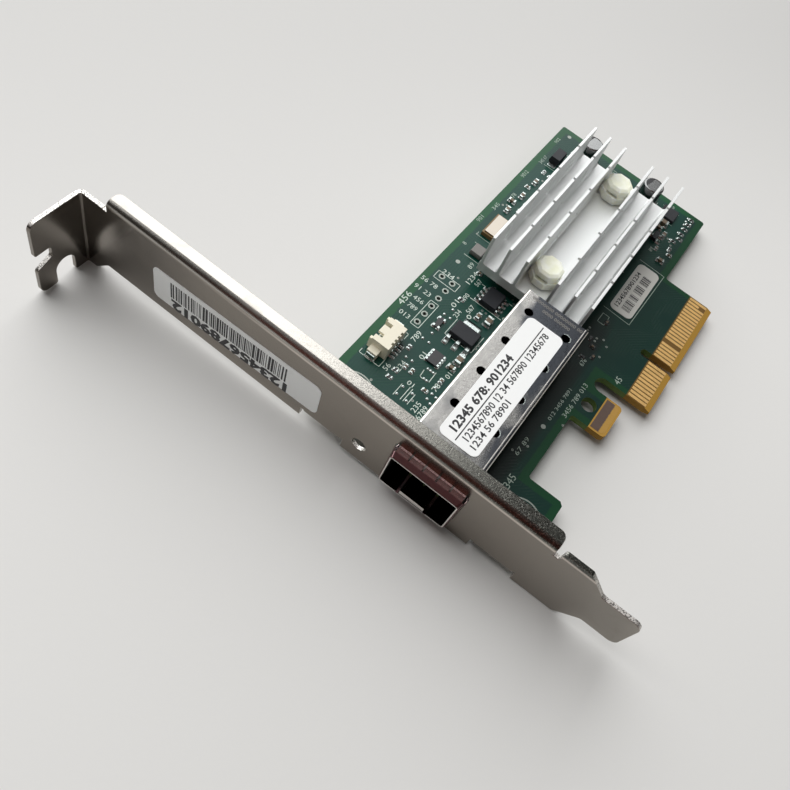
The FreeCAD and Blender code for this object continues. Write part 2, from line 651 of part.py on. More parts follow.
# --- transceiver cage ----------------------------------------------------------------------
def cage_base():
    """Lower shell: a closed nose, an open trough behind it, board feet and the latch tongue."""
    half = CAGE_W / 2
    wall = CAGE_SHEET_T
    under_cover = CAGE_TOP_Z - wall
    nose = [(CAGE_Y - half, CAGE_FOOT_Z, 0.5), (CAGE_Y + half, CAGE_FOOT_Z, 0.5),
            (CAGE_Y + half, NOSE_TOP_Z, 0.5), (CAGE_Y - half, NOSE_TOP_Z, 0.5)]
    hollow = [(CAGE_Y - half + wall, CAGE_FOOT_Z + wall, 0.3),
              (CAGE_Y + half - wall, CAGE_FOOT_Z + wall, 0.3),
              (CAGE_Y + half - wall, NOSE_TOP_Z - wall, 0.3),
              (CAGE_Y - half + wall, NOSE_TOP_Z - wall, 0.3)]
    trough = [(CAGE_Y - half, CAGE_FOOT_Z, 0.5), (CAGE_Y + half, CAGE_FOOT_Z, 0.5),
              (CAGE_Y + half, under_cover), (CAGE_Y + half - wall, under_cover),
              (CAGE_Y + half - wall, CAGE_FOOT_Z + wall, 0.3),
              (CAGE_Y - half + wall, CAGE_FOOT_Z + wall, 0.3),
              (CAGE_Y - half + wall, under_cover), (CAGE_Y - half, under_cover)]
    rear = CAGE_REAR_X - wall
    tube = prism(nose, "YZ", CAGE_FRONT_X, NOSE_REAR_X)
    tube = tube.cut(prism(hollow, "YZ", CAGE_FRONT_X - 1, NOSE_REAR_X + 1))
    shell = [tube, prism(trough, "YZ", NOSE_REAR_X, rear)]
    for x, y in cage_pin_places():
        foot = [(x - CAGE_PIN_W, CAGE_FOOT_Z + 1), (x - CAGE_PIN_W / 2, CAGE_FOOT_Z),
                (x - CAGE_PIN_W / 2, -BOARD_T - CAGE_PIN_DROP + 0.4),
                (x, -BOARD_T - CAGE_PIN_DROP), (x + CAGE_PIN_W / 2, -BOARD_T - CAGE_PIN_DROP + 0.4),
                (x + CAGE_PIN_W / 2, CAGE_FOOT_Z), (x + CAGE_PIN_W, CAGE_FOOT_Z + 1)]
        shell.append(prism(foot, "XZ", y - wall / 2, y + wall / 2))
    floor = (CAGE_FOOT_Z - 1, CAGE_FOOT_Z + wall + 0.02)
    window_x = HOST_FRONT_X - HOST_TAIL - 0.6
    side_room = HOST_W / 2 + 0.4
    cuts = [block(window_x, CAGE_REAR_X + 1, CAGE_Y - side_room, CAGE_Y + side_room, *floor)]
    latch_end = CAGE_FRONT_X + LATCH_LENGTH
    for side in (-1, 1):
        y = CAGE_Y + side * (LATCH_W + LATCH_SLIT) / 2
        cuts.append(block(CAGE_FRONT_X - 1, latch_end, y - LATCH_SLIT / 2, y + LATCH_SLIT / 2,
                          *floor))
    eye = [(latch_end - 5.6, CAGE_Y, 0.2), (latch_end - 3.2, CAGE_Y - 1.3, 0.2),
           (latch_end - 3.2, CAGE_Y + 1.3, 0.2)]
    cuts.append(prism(eye, "XY", *floor))
    base = carved(joined(shell), *cuts)
    guides = []
    for side in (-1, 1):
        y = CAGE_Y + side * (LATCH_W / 2 - LATCH_GUIDE_W)
        guides.append(block(CAGE_FRONT_X + LATCH_GUIDE_X,
                            CAGE_FRONT_X + LATCH_GUIDE_X + LATCH_GUIDE_L,
                            y - LATCH_GUIDE_W / 2, y + LATCH_GUIDE_W / 2,
                            CAGE_FOOT_Z + wall / 2, CAGE_FOOT_Z + wall + LATCH_GUIDE_H))
    x0, x1 = CAGE_FRONT_X + wall / 2, CAGE_FRONT_X + LATCH_BAR_L
    z0, z1 = CAGE_FOOT_Z + wall / 2, CAGE_FOOT_Z + wall + LATCH_RISE
    lip = [(x0, z0), (x0 + wall, z0), (x0 + wall, z1 - wall), (x1, z1 - wall), (x1, z1), (x0, z1)]
    lip_half = (LATCH_W - wall) / 2
    guides.append(prism(lip, "XZ", CAGE_Y - lip_half, CAGE_Y + lip_half))
    return joined([base] + guides)


def vent_places():
    """Vent holes in the top of the cage: two rows, one on each side of its label."""
    return [(VENT_FIRST_X - k * VENT_PITCH, CAGE_Y + side * VENT_ROW_OFFSET)
            for side in (1, -1) for k in range(VENT_COUNT)]


def cage_cover():
    """Upper shell: vented top, side flaps over the trough and the rear wall."""
    half = COVER_W / 2
    wall = CAGE_SHEET_T
    flap_z = CAGE_TOP_Z - COVER_FLAP_H
    hat = [(CAGE_Y - half, flap_z), (CAGE_Y - half, CAGE_TOP_Z, 0.45),
           (CAGE_Y + half, CAGE_TOP_Z, 0.45), (CAGE_Y + half, flap_z),
           (CAGE_Y + half - wall, flap_z), (CAGE_Y + half - wall, CAGE_TOP_Z - wall),
           (CAGE_Y - half + wall, CAGE_TOP_Z - wall), (CAGE_Y - half + wall, flap_z)]
    cover = prism(hat, "YZ", NOSE_REAR_X, CAGE_REAR_X)
    inner = half - wall
    rear = block(CAGE_REAR_X - wall, CAGE_REAR_X, CAGE_Y - inner, CAGE_Y + inner,
                 CAGE_FOOT_Z + 0.3, CAGE_TOP_Z - wall)
    vents = [faceted(x, y, VENT_R, CAGE_TOP_Z - 1, CAGE_TOP_Z + 1, 16) for x, y in vent_places()]
    slots = []
    for side in (-1, 1):
        for k in range(VENT_COUNT):
            x = VENT_FIRST_X - k * VENT_PITCH
            y = CAGE_Y + side * (half - wall / 2)
            slots.append(block(x - 1.4, x + 1.4, y - wall, y + wall, flap_z + 1.0, flap_z + 1.6))
    return carved(joined([cover, rear]), *vents, *slots)


def finger_strip(width, length):
    """One spring finger along +X at Y=0 on the plane Z=0: a thin strip bowed down to its foot."""
    rise, t = FINGER_BULGE, FINGER_T
    low = [(0, COLLAR_FLARE), (length * 0.32, rise), (length * 0.65, rise * 0.55), (length, 0)]
    high = [(x, z + t) for x, z in reversed(low)]
    strip = prism(low + high, "XZ", 0, width)
    strip.translate(Vector(0, -width / 2, 0))
    return strip


def nose_band(x, grow, radius):
    """Wire round the nose at one X, grown outwards from its outline."""
    half = CAGE_W / 2 + grow
    low, high = CAGE_FOOT_Z - grow, NOSE_TOP_Z + grow
    corners = [(CAGE_Y - half, low, radius), (CAGE_Y + half, low, radius),
               (CAGE_Y + half, high, radius), (CAGE_Y - half, high, radius)]
    return rounded_wire(corners, "YZ", x)


def cage_emi_springs():
    """Spring collar flaring out from the nose, with a row of fingers behind it on each side."""
    half = CAGE_W / 2
    t = FINGER_T
    mid_z = (CAGE_FOOT_Z + NOSE_TOP_Z) / 2
    x0 = CAGE_FRONT_X + COLLAR_START
    crest = x0 + COLLAR_L
    outer = Part.makeLoft([nose_band(x0, t, 0.6), nose_band(crest, t + COLLAR_FLARE, 0.6)],
                          True, True)
    inner = Part.makeLoft([nose_band(x0, 0, 0.5), nose_band(crest, COLLAR_FLARE, 0.5)],
                          True, True)
    pieces = [outer.cut(inner)]
    strip = finger_strip(FINGER_PITCH - FINGER_GAP, NOSE_REAR_X - t - crest)
    rows = ((0, FINGER_COUNT_WIDE, NOSE_TOP_Z, 0), (180, FINGER_COUNT_WIDE, CAGE_FOOT_Z, 0),
            (90, FINGER_COUNT_HIGH, 0, -half), (-90, FINGER_COUNT_HIGH, 0, half))
    for angle, count, level, side in rows:
        for k in range(count):
            along = (k - (count - 1) / 2) * FINGER_PITCH
            finger = strip.copy()
            finger.rotate(Vector(0, 0, 0), Vector(1, 0, 0), angle)
            if side == 0:
                finger.translate(Vector(crest, CAGE_Y + along, level))
            else:
                finger.translate(Vector(crest, CAGE_Y + side, mid_z + along))
            pieces.append(finger)
    return joined(pieces)


# --- connector inside the cage -------------------------------------------------------------
def host_contact(upper):
    """Side view of one contact, as (x, z) corners: tail, post, beam and contact point."""
    t = HOST_CONTACT_T
    slot_low = HOST_SLOT_Z - HOST_SLOT_H / 2
    slot_high = HOST_SLOT_Z + HOST_SLOT_H / 2
    mouth = HOST_FRONT_X + 0.7
    if upper:
        post = HOST_FRONT_X + HOST_L - 1.0
        beam = slot_high + 0.5
        return [(post + HOST_TAIL + 1.0, 0), (post + HOST_TAIL + 1.0, t), (post + t, t),
                (post + t, beam + t), (mouth, beam + t), (mouth + 0.6, slot_high - 0.25),
                (mouth + 1.2, beam), (post, beam), (post, 0)]
    post = HOST_FRONT_X + HOST_SLOT_DEPTH + 0.6
    beam = slot_low - 0.5
    return [(HOST_FRONT_X - HOST_TAIL, 0), (post + t, 0), (post + t, beam), (mouth + 1.2, beam),
            (mouth + 0.6, slot_low + 0.25), (mouth, beam - t), (post, beam - t), (post, t),
            (HOST_FRONT_X - HOST_TAIL, t)]


def host_contacts():
    """Two rows of contacts on the standard pitch."""
    contacts = []
    for upper in (True, False):
        for k in range(HOST_CONTACT_COUNT):
            y = CAGE_Y + (k - (HOST_CONTACT_COUNT - 1) / 2) * HOST_PITCH
            contacts.append(prism(host_contact(upper), "XZ", y - HOST_CONTACT_W / 2,
                                  y + HOST_CONTACT_W / 2))
    return contacts


def host_connector(contacts):
    """Moulded housing with the card slot and a channel for each contact."""
    x1 = HOST_FRONT_X + HOST_L
    top = HOST_STANDOFF + HOST_H
    side = [(HOST_FRONT_X, HOST_STANDOFF), (x1, HOST_STANDOFF), (x1, top - 0.8), (x1 - 0.8, top),
            (HOST_FRONT_X + 0.5, top), (HOST_FRONT_X, top - 0.5)]
    body = prism(side, "XZ", CAGE_Y - HOST_W / 2, CAGE_Y + HOST_W / 2)
    slot = block(HOST_FRONT_X - 1, HOST_FRONT_X + HOST_SLOT_DEPTH, CAGE_Y - HOST_SLOT_W / 2,
                 CAGE_Y + HOST_SLOT_W / 2, HOST_SLOT_Z - HOST_SLOT_H / 2,
                 HOST_SLOT_Z + HOST_SLOT_H / 2)
    return carved(body, slot, *contacts)


# --- heat sink, controller and push pins ---------------------------------------------------
def heatsink():
    """Extruded plate with six fins, cross-cut into rows of blades and drilled for its pins."""
    half_w = SINK_W / 2
    section = [(SINK_Y - half_w, SINK_SEAT_Z), (SINK_Y + half_w, SINK_SEAT_Z),
               (SINK_Y + half_w, SINK_BASE_Z)]
    places = sorted([s * offset for offset in FIN_OFFSETS for s in (-1, 1)], reverse=True)
    for offset in places:
        y = SINK_Y + offset
        for side in (1, -1):
            edge = y + side * FIN_T / 2
            flank = [(edge + side * FIN_ROOT, SINK_BASE_Z), (edge, SINK_BASE_Z + FIN_ROOT),
                     (edge, SINK_TOP_Z)]
            if abs(flank[0][0] - SINK_Y) > half_w - CAPTIVE:
                flank = [(edge, SINK_BASE_Z), (edge, SINK_TOP_Z)]
            section += flank if side > 0 else flank[::-1]
    section.append((SINK_Y - half_w, SINK_BASE_Z))
    body = prism(drop_repeats(section), "YZ", SINK_X - SINK_L / 2, SINK_X + SINK_L / 2)
    cuts = []
    for k in (-1.5, -0.5, 0.5, 1.5):
        x = SINK_X + k * CROSS_SLOT_PITCH
        cuts.append(block(x - CROSS_SLOT_W / 2, x + CROSS_SLOT_W / 2, SINK_Y - half_w - 1,
                          SINK_Y + half_w + 1, SINK_BASE_Z, SINK_TOP_Z + 1))
    for x in SINK_PIN_XS:
        cuts.append(upright(x, SINK_Y, SINK_PIN_HOLE_R, SINK_SEAT_Z - 1, SINK_BASE_Z + 1))
    return carved(body, *cuts)


def drop_repeats(corners):
    """Leave out corners that fall on the one before them."""
    kept = []
    for corner in corners:
        if not kept or math.dist(corner[:2], kept[-1][:2]) > 1e-6:
            kept.append(corner)
    return kept


def push_pins():
    """Nylon push pins: octagonal cap, hollow skirt for the spring, split shank and barbs."""
    pins = []
    foot = SINK_BASE_Z + PIN_SKIRT_GAP
    shelf = foot + PIN_SKIRT_H
    top = shelf + PIN_CAP_H
    spring_room = SPRING_R + SPRING_WIRE_R + 0.2
    barb = -BOARD_T - 0.1
    for x in SINK_PIN_XS:
        skirt = octagon_loft(x, SINK_Y, [(PIN_HEAD_W + 0.1, foot), (PIN_HEAD_W + 0.3, shelf)])
        cap = octagon_loft(x, SINK_Y, [(PIN_HEAD_W - 0.3, shelf), (PIN_HEAD_W - 0.4, top - 0.5),
                                       (PIN_HEAD_W - 1.6, top)])
        room = upright(x, SINK_Y, spring_room, foot - 1, shelf - 0.1)
        head = joined([skirt, cap]).cut(room)
        for side in (-1, 1):
            window = slab(x + side * PIN_HEAD_W / 2, SINK_Y, 1.6, PIN_WINDOW_W, shelf - 0.15,
                          shelf - 0.15 + PIN_WINDOW_H)
            head = head.cut(window)
        shank = [(PIN_SHANK_R, shelf), (PIN_SHANK_R, barb), (PIN_BARB_R, barb - 0.15),
                 (PIN_BARB_R, barb - 0.5), (PIN_SHANK_R * 0.6, barb - PIN_BARB_H)]
        stem = post(x, SINK_Y, shank, 12)
        split = slab(x, SINK_Y, 0.6, PIN_BARB_R * 2 + 1, barb - PIN_BARB_H - 1, SINK_SEAT_Z)
        pins.append(joined([head, stem]).cut(split))
    return pins


def push_pin_springs():
    """Coil springs under the push-pin heads, pressing the heat sink down."""
    springs = []
    low = SINK_BASE_Z + SPRING_WIRE_R
    high = SINK_BASE_Z + PIN_SKIRT_GAP + PIN_SKIRT_H - 0.1 - SPRING_WIRE_R
    steps = SPRING_STEP_COUNT * SPRING_TURN_COUNT
    for x in SINK_PIN_XS:
        sections = []
        for k in range(steps + 1):
            angle = 2 * math.pi * k / SPRING_STEP_COUNT
            z = low + (high - low) * k / steps
            out = Vector(math.cos(angle), math.sin(angle), 0)
            centre = Vector(x, SINK_Y, z) + out * SPRING_R
            points = [centre + out * (a * SPRING_WIRE_R) + Vector(0, 0, b * SPRING_WIRE_R)
                      for a, b in ((1, 0), (0, 1), (-1, 0), (0, -1), (1, 0))]
            sections.append(Part.makePolygon(points))
        springs.append(Part.makeLoft(sections, True, True))
    return springs


# --- packaged parts ------------------------------------------------------------------------
def moulded(x, y, length, width, z0, height):
    """Moulded package body with draft above and below its parting line."""
    draft = height * 0.12
    return lofted(x, y, [(length - 2 * draft, width - 2 * draft, z0),
                         (length, width, z0 + height * 0.45),
                         (length - 2 * draft, width - 2 * draft, z0 + height)])


def gull_lead(x, y, inner, outer, width, shoulder_z, thickness, turns):
    """Gull-wing lead on the +Y side of x, y, then turned by quarter turns about x, y."""
    mid = (inner + outer) / 2
    side = [(y + inner, shoulder_z), (y + mid, shoulder_z), (y + mid + 0.15, thickness),
            (y + outer, thickness), (y + outer, 0), (y + mid - 0.05, 0),
            (y + mid - thickness * 0.7, shoulder_z - thickness), (y + inner, shoulder_z - thickness)]
    lead = prism(side, "YZ", x - width / 2, x + width / 2)
    return quarter_turned(lead, x, y, turns)


def leaded_package(x, y, body, leads_up, leads_down, reach, turns):
    """Package with gull leads: leads are (offset, width) and stand out by the reach."""
    length, width, height, standoff = body
    shell = moulded(x, y, length, width, standoff, height)
    shoulder = standoff + height * 0.45 + 0.09
    leads = []
    for offsets, flip in ((leads_up, 0), (leads_down, 2)):
        for offset, lead_w in offsets:
            lead = gull_lead(x, y, width / 2 - 0.25, width / 2 + reach, lead_w, shoulder, 0.17,
                             flip)
            lead.translate(Vector(offset, 0, 0))
            leads.append(lead)
    shell = quarter_turned(carved(shell, *leads), x, y, turns)
    return shell, [quarter_turned(lead, x, y, turns) for lead in leads]


def chip(x, y, size, axis, side):
    """Two-ended chip part: returns its body and its two metal ends."""
    length, width, height = size
    cap = length * 0.22
    span = [(-length / 2, -length / 2 + cap), (length / 2 - cap, length / 2)]
    z0, z1 = (0.0, height) if side > 0 else (-BOARD_T - height, -BOARD_T)
    inset = CAPTIVE
    if axis == "X":
        body = block(x - length / 2 + cap, x + length / 2 - cap, y - width / 2 + inset,
                     y + width / 2 - inset, z0 + inset, z1 - inset)
        ends = [block(x + a, x + b, y - width / 2, y + width / 2, z0, z1) for a, b in span]
    else:
        body = block(x - width / 2 + inset, x + width / 2 - inset, y - length / 2 + cap,
                     y + length / 2 - cap, z0 + inset, z1 - inset)
        ends = [block(x - width / 2, x + width / 2, y + a, y + b, z0, z1) for a, b in span]
    return body, ends


CHIP_SIZES = {"small": (1.0, 0.5, 0.45), "medium": (1.6, 0.8, 0.75), "large": (2.1, 1.3, 1.1),
              "flat": (1.0, 0.5, 0.33), "wide_flat": (1.6, 0.8, 0.45)}

# Chip parts as (x, y, size, axis) on the component side.
CHIP_CAPACITORS = (
    (-30.6, 36.1, "large", "X"), (-18.9, 38.9, "medium", "X"), (-18.6, 36.6, "large", "X"),
    (-39.0, 43.2, "small", "X"), (-39.0, 41.7, "small", "X"), (-33.0, 36.4, "medium", "Y"),
    (10.6, 49.6, "medium", "X"), (13.6, 50.2, "medium", "Y"), (16.8, 49.3, "medium", "X"),
    (20.4, 49.8, "small", "Y"), (23.0, 49.2, "medium", "X"), (36.6, 20.3, "large", "Y"),
    (34.6, 20.6, "medium", "Y"), (33.4, 18.6, "medium", "X"), (28.4, 18.2, "small", "X"),
    (25.6, 15.9, "medium", "Y"), (28.9, 14.9, "small", "Y"), (-9.4, 15.6, "small", "X"),
    (-7.2, 16.9, "small", "Y"), (0.6, 17.4, "small", "X"), (-9.2, 44.6, "small", "Y"),
    (-7.9, 40.4, "small", "X"), (-40.7, 37.4, "small", "Y"), (-36.8, 36.2, "small", "X"),
)
CHIP_RESISTORS = (
    (43.4, 15.35, "flat", "Y"), (41.4, 15.35, "flat", "Y"), (39.4, 15.35, "flat", "Y"),
    (37.3, 15.4, "flat", "Y"), (35.5, 15.0, "flat", "Y"), (33.7, 16.0, "flat", "Y"),
    (-17.7, 43.8, "flat", "Y"),
    (-41.0, 44.2, "flat", "Y"), (-43.0, 44.2, "flat", "Y"), (-34.9, 45.2, "flat", "X"),
    (12.6, 47.5, "flat", "X"), (15.4, 47.2, "flat", "Y"), (19.0, 47.1, "flat", "X"),
    (27.6, 49.4, "flat", "X"), (27.4, 47.5, "flat", "Y"), (30.6, 15.6, "flat", "X"),
    (-5.6, 18.2, "flat", "X"), (-11.0, 17.4, "flat", "Y"),
)
# Chip arrays as (x, y, length, width, elements, pitch), with ends on both long sides.
CHIP_ARRAYS = ((-33.5, 39.9, 3.2, 2.6, 4, 0.8), (-26.05, 44.03, 2.8, 1.1, 2, 2.3))
SOLDER_SIDE_CAPACITORS = tuple(
    (SINK_X + 3.0 * (i - 1.5), SINK_Y + 3.2 * (j - 1), "small", "Y")
    for i in range(4) for j in range(3))


def chips(places, side):
    """All chip bodies and all metal ends of a group of chip parts."""
    bodies, ends = [], []
    for x, y, size, axis in places:
        body, caps = chip(x, y, CHIP_SIZES[size], axis, side)
        bodies.append(body)
        ends += caps
    return bodies, ends


def chip_arrays():
    """Chip arrays: a block each, with a small metal end for every element on both sides."""
    bodies, ends = [], []
    for x, y, length, width, count, pitch in CHIP_ARRAYS:
        metal = []
        for k in range(count):
            for side in (-1, 1):
                metal.append(slab(x + (k - (count - 1) / 2) * pitch,
                                  y + side * (width / 2 + CAPTIVE),
                                  ARRAY_END_W, ARRAY_END_L, 0, ARRAY_H + CAPTIVE))
        bodies.append(carved(slab(x, y, length, width, 0, ARRAY_H), *metal))
        ends += metal
    return bodies, ends


def capacitor_parts():
    """Electrolytic capacitors: aluminium cans, moulded bases and flat leads."""
    cans, bases, leads = [], [], []
    z0 = CAN_LEAD_T
    z1 = z0 + CAN_BASE_H
    for x, y in [(CAN_X, can_y) for can_y in CAN_YS]:
        half = CAN_BASE_W / 2
        outline = [(x - half, y - half), (x + half, y - half), (x + half, y + half - 1.0),
                   (x + half - 1.0, y + half), (x - half + 1.0, y + half),
                   (x - half, y + half - 1.0)]
        bases.append(prism(outline, "XY", z0, z1))
        top = z1 + CAN_H
        profile = [(0, z1), (CAN_R, z1), (CAN_R, z1 + 0.8), (CAN_R - 0.22, z1 + 1.1),
                   (CAN_R, z1 + 1.4), (CAN_R, top - 0.3), (CAN_R - 0.3, top), (0, top)]
        cans.append(turned(profile, x, y))
        for side in (-1, 1):
            leads.append(slab(x, y + side * (half - 0.4), 0.7, 2.0, 0, z0))
    return cans, bases, leads


def wire_port():
    """Side-entry wire connector: housing, contacts and hold-down lugs."""
    x, y = WIRE_PORT_X, WIRE_PORT_Y
    half_w, half_d, wall = WIRE_PORT_W / 2, WIRE_PORT_DEPTH / 2, WIRE_PORT_WALL
    back, mouth = y - half_d, y + half_d
    body = block(x - half_w, x + half_w, back, mouth - 0.5, 0, WIRE_PORT_H)
    wings = block(x - half_w - WIRE_PORT_EAR_W, x + half_w + WIRE_PORT_EAR_W, back + 1.3,
                  mouth - 0.9, 0, WIRE_PORT_H * 0.5)
    horns = [block(x + s * (half_w - wall / 2) - wall / 2, x + s * (half_w - wall / 2) + wall / 2,
                   mouth - 0.5, mouth, 0.4, WIRE_PORT_H - 0.3) for s in (-1, 1)]
    cavity = block(x - half_w + wall, x + half_w - wall, back + 1.2, mouth + 1, wall,
                   WIRE_PORT_H - wall)
    key_slots = [block(x + s * half_w * 0.45 - 0.45, x + s * half_w * 0.45 + 0.45, mouth - 1.9,
                       mouth + 1, WIRE_PORT_H - wall - 0.1, WIRE_PORT_H + 1) for s in (-1, 1)]
    steps = []
    pins = []
    for k in range(WIRE_PORT_PIN_COUNT):
        px = x + (k - (WIRE_PORT_PIN_COUNT - 1) / 2) * WIRE_PORT_PITCH
        low, high = px - WIRE_PIN_W / 2, px + WIRE_PIN_W / 2
        side = [(back - 1.1, 0), (back - 1.1, 0.25), (back - 0.45, 0.25), (back - 0.3, 1.9),
                (mouth - 1.0, 1.9), (mouth - 0.8, 1.7), (mouth - 1.0, 1.5), (back - 0.05, 1.5),
                (back - 0.2, 0)]
        pins.append(prism(side, "YZ", low, high))
        steps.append(block(px - 0.3, px + 0.3, back - 1, back + 0.35, WIRE_PORT_H - 1.3,
                           WIRE_PORT_H + 1))
    lugs = []
    for s in (-1, 1):
        inner = x + s * (half_w + WIRE_PORT_EAR_W)
        outer = inner + s * 0.35
        lugs.append(block(min(inner, outer), max(inner, outer), back + 1.5, mouth - 1.1, 0,
                          WIRE_PORT_H * 0.4))
    housing = carved(joined([body, wings] + horns), cavity, *key_slots, *steps, *pins)
    return housing, pins, lugs


def status_led():
    """Side-view link light behind the hole in the bracket: base and clear lens."""
    x0 = BOARD_NEAR_X + 0.6
    base = block(x0 + LED_LENS_L, x0 + LED_LENS_L + LED_BASE_L, LED_HOLE_Y - LED_W / 2,
                 LED_HOLE_Y + LED_W / 2, 0, LED_H)
    half = LED_W * 0.34
    dome = [(x0 + LED_LENS_L, LED_HOLE_Y - half), (x0 + LED_LENS_L, LED_HOLE_Y + half),
            (x0, LED_HOLE_Y + half, LED_LENS_L * 0.8), (x0, LED_HOLE_Y - half, LED_LENS_L * 0.8)]
    return base, prism(dome, "XY", LED_H * 0.15, LED_H * 0.9)


def bracket_label():
    """Sticker on the outside of the bracket, laid on slightly askew."""
    half_l, half_w = BRACKET_LABEL_L / 2, BRACKET_LABEL_W / 2
    r = LABEL_CORNER_R
    y, z = BRACKET_LABEL_Y, BRACKET_LABEL_Z
    corners = [(y - half_l, z - half_w, r), (y + half_l, z - half_w, r),
               (y + half_l, z + half_w, r), (y - half_l, z + half_w, r)]
    sheet = prism(corners, "YZ", BLADE_OUT_X - LABEL_T, BLADE_OUT_X)
    sheet.rotate(Vector(0, y, z), Vector(1, 0, 0), -BRACKET_LABEL_TILT)
    return sheet


def lead_row(count, pitch, width):
    """Offsets and widths of a row of leads about the middle of a package."""
    return [(pitch * (k - (count - 1) / 2), width) for k in range(count)]


def write_packages():
    """Regulator, memory, oscillator, inductor, arrays and the small leaded part."""
    shell, leads = leaded_package(REGULATOR_X, REGULATOR_Y, REGULATOR_BODY,
                                  lead_row(3, REGULATOR_LEAD_PITCH, REGULATOR_LEAD_W),
                                  [(0, REGULATOR_TAB_W)], REGULATOR_REACH, 1)
    save("regulator_body", shell)
    save("regulator_leads", *leads)
    row = lead_row(4, MEMORY_LEAD_PITCH, MEMORY_LEAD_W)
    shell, leads = leaded_package(MEMORY_X, MEMORY_Y, MEMORY_BODY, row, row, SMALL_LEAD_REACH, 0)
    save("flash_memory_body", shell)
    save("flash_memory_leads", *leads)
    shell, leads = leaded_package(31.2, 20.0, TRANSISTOR_BODY, [(0, TRANSISTOR_LEAD_W)],
                                  lead_row(2, TRANSISTOR_LEAD_PITCH, TRANSISTOR_LEAD_W),
                                  SMALL_LEAD_REACH, 0)
    save("small_transistor_body", shell)
    save("small_transistor_leads", *leads)
    lid_top = OSCILLATOR_H + OSCILLATOR_LID_T
    save("oscillator_body", slab(OSCILLATOR_X, OSCILLATOR_Y, OSCILLATOR_L, OSCILLATOR_W, 0,
                                 OSCILLATOR_H))
    save("oscillator_lid", slab(OSCILLATOR_X, OSCILLATOR_Y, OSCILLATOR_L - 2 * OSCILLATOR_RIM,
                                OSCILLATOR_W - 2 * OSCILLATOR_RIM, OSCILLATOR_H, lid_top))
    save("power_inductor", moulded(INDUCTOR_X, INDUCTOR_Y, INDUCTOR_L, INDUCTOR_W, 0, INDUCTOR_H))
    bodies, ends = chip_arrays()
    save("chip_array_bodies", *bodies)
    save("chip_array_ends", *ends)
    save("clock_buffer", moulded(BUFFER_X, BUFFER_Y, BUFFER_W, BUFFER_W, 0.02, BUFFER_H))
    save("diode_body", moulded(DIODE_X, DIODE_Y, DIODE_L, DIODE_W, DIODE_LEAD_T,
                               DIODE_H))
    out = DIODE_L / 2 + DIODE_LEAD_OUT - DIODE_LEAD_L / 2
    save("diode_leads", *[slab(DIODE_X + s * out, DIODE_Y, DIODE_LEAD_L, DIODE_LEAD_W, 0,
                               DIODE_LEAD_T) for s in (-1, 1)])


def main():
    """Build every sub-part and write it."""
    os.makedirs("parts", exist_ok=True)
    save("circuit_board", circuit_board())
    save("edge_contacts_component", *edge_contacts(1, missing=(17,), short=(31,)))
    save("edge_contacts_solder", *edge_contacts(-1, missing=(), short=(1,)))
    save("tab_contacts", *tab_contacts())
    save("test_points", *test_points())
    save("io_bracket", io_bracket())
    save("bracket_screws", *bracket_screws())
    save("sfp_cage_base", cage_base())
    save("sfp_cage_cover", cage_cover())
    save("cage_emi_springs", cage_emi_springs())
    contacts = host_contacts()
    save("host_connector_housing", host_connector(contacts))
    save("host_connector_contacts", *contacts)
    save("heatsink", heatsink())
    die_top = CHIP_STANDOFF + CHIP_T + DIE_T
    save("controller_substrate", slab(SINK_X, SINK_Y, CHIP_W, CHIP_W, CHIP_STANDOFF,
                                      CHIP_STANDOFF + CHIP_T))
    save("controller_die", slab(SINK_X, SINK_Y, DIE_W, DIE_W, CHIP_STANDOFF + CHIP_T, die_top))
    save("thermal_pad", slab(SINK_X, SINK_Y, DIE_W + 3, DIE_W + 3, die_top, SINK_SEAT_Z))
    save("push_pins", *push_pins())
    save("push_pin_springs", *push_pin_springs())
    cans, bases, leads = capacitor_parts()
    save("capacitor_cans", *cans)
    save("capacitor_bases", *bases)
    save("capacitor_leads", *leads)
    housing, pins, lugs = wire_port()
    save("wire_connector_housing", housing)
    save("wire_connector_pins", *pins)
    save("wire_connector_lugs", *lugs)
    base, lens = status_led()
    save("status_led_base", base)
    save("status_led_lens", lens)
    for name, places, side in (("chip_capacitor", CHIP_CAPACITORS, 1),
                               ("chip_resistor", CHIP_RESISTORS, 1),
                               ("underside_capacitor", SOLDER_SIDE_CAPACITORS, -1)):
        bodies, ends = chips(places, side)
        save(name + "_bodies", *bodies)
        save(name + "_ends", *ends)
    save("cage_label", rounded_slab(CAGE_LABEL_X, CAGE_LABEL_Y, CAGE_LABEL_L, CAGE_LABEL_W,
                                    LABEL_CORNER_R, CAGE_TOP_Z, CAGE_TOP_Z + LABEL_T))
    save("board_label", rounded_slab(BOARD_LABEL_X, BOARD_LABEL_Y, BOARD_LABEL_L, BOARD_LABEL_W,
                                     LABEL_CORNER_R, 0, LABEL_T))
    save("bracket_label", bracket_label())
    write_packages()


main()
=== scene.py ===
import math
import random

import bmesh
import bpy
from mathutils import Matrix, Vector
from mathutils.geometry import intersect_point_tri_2d


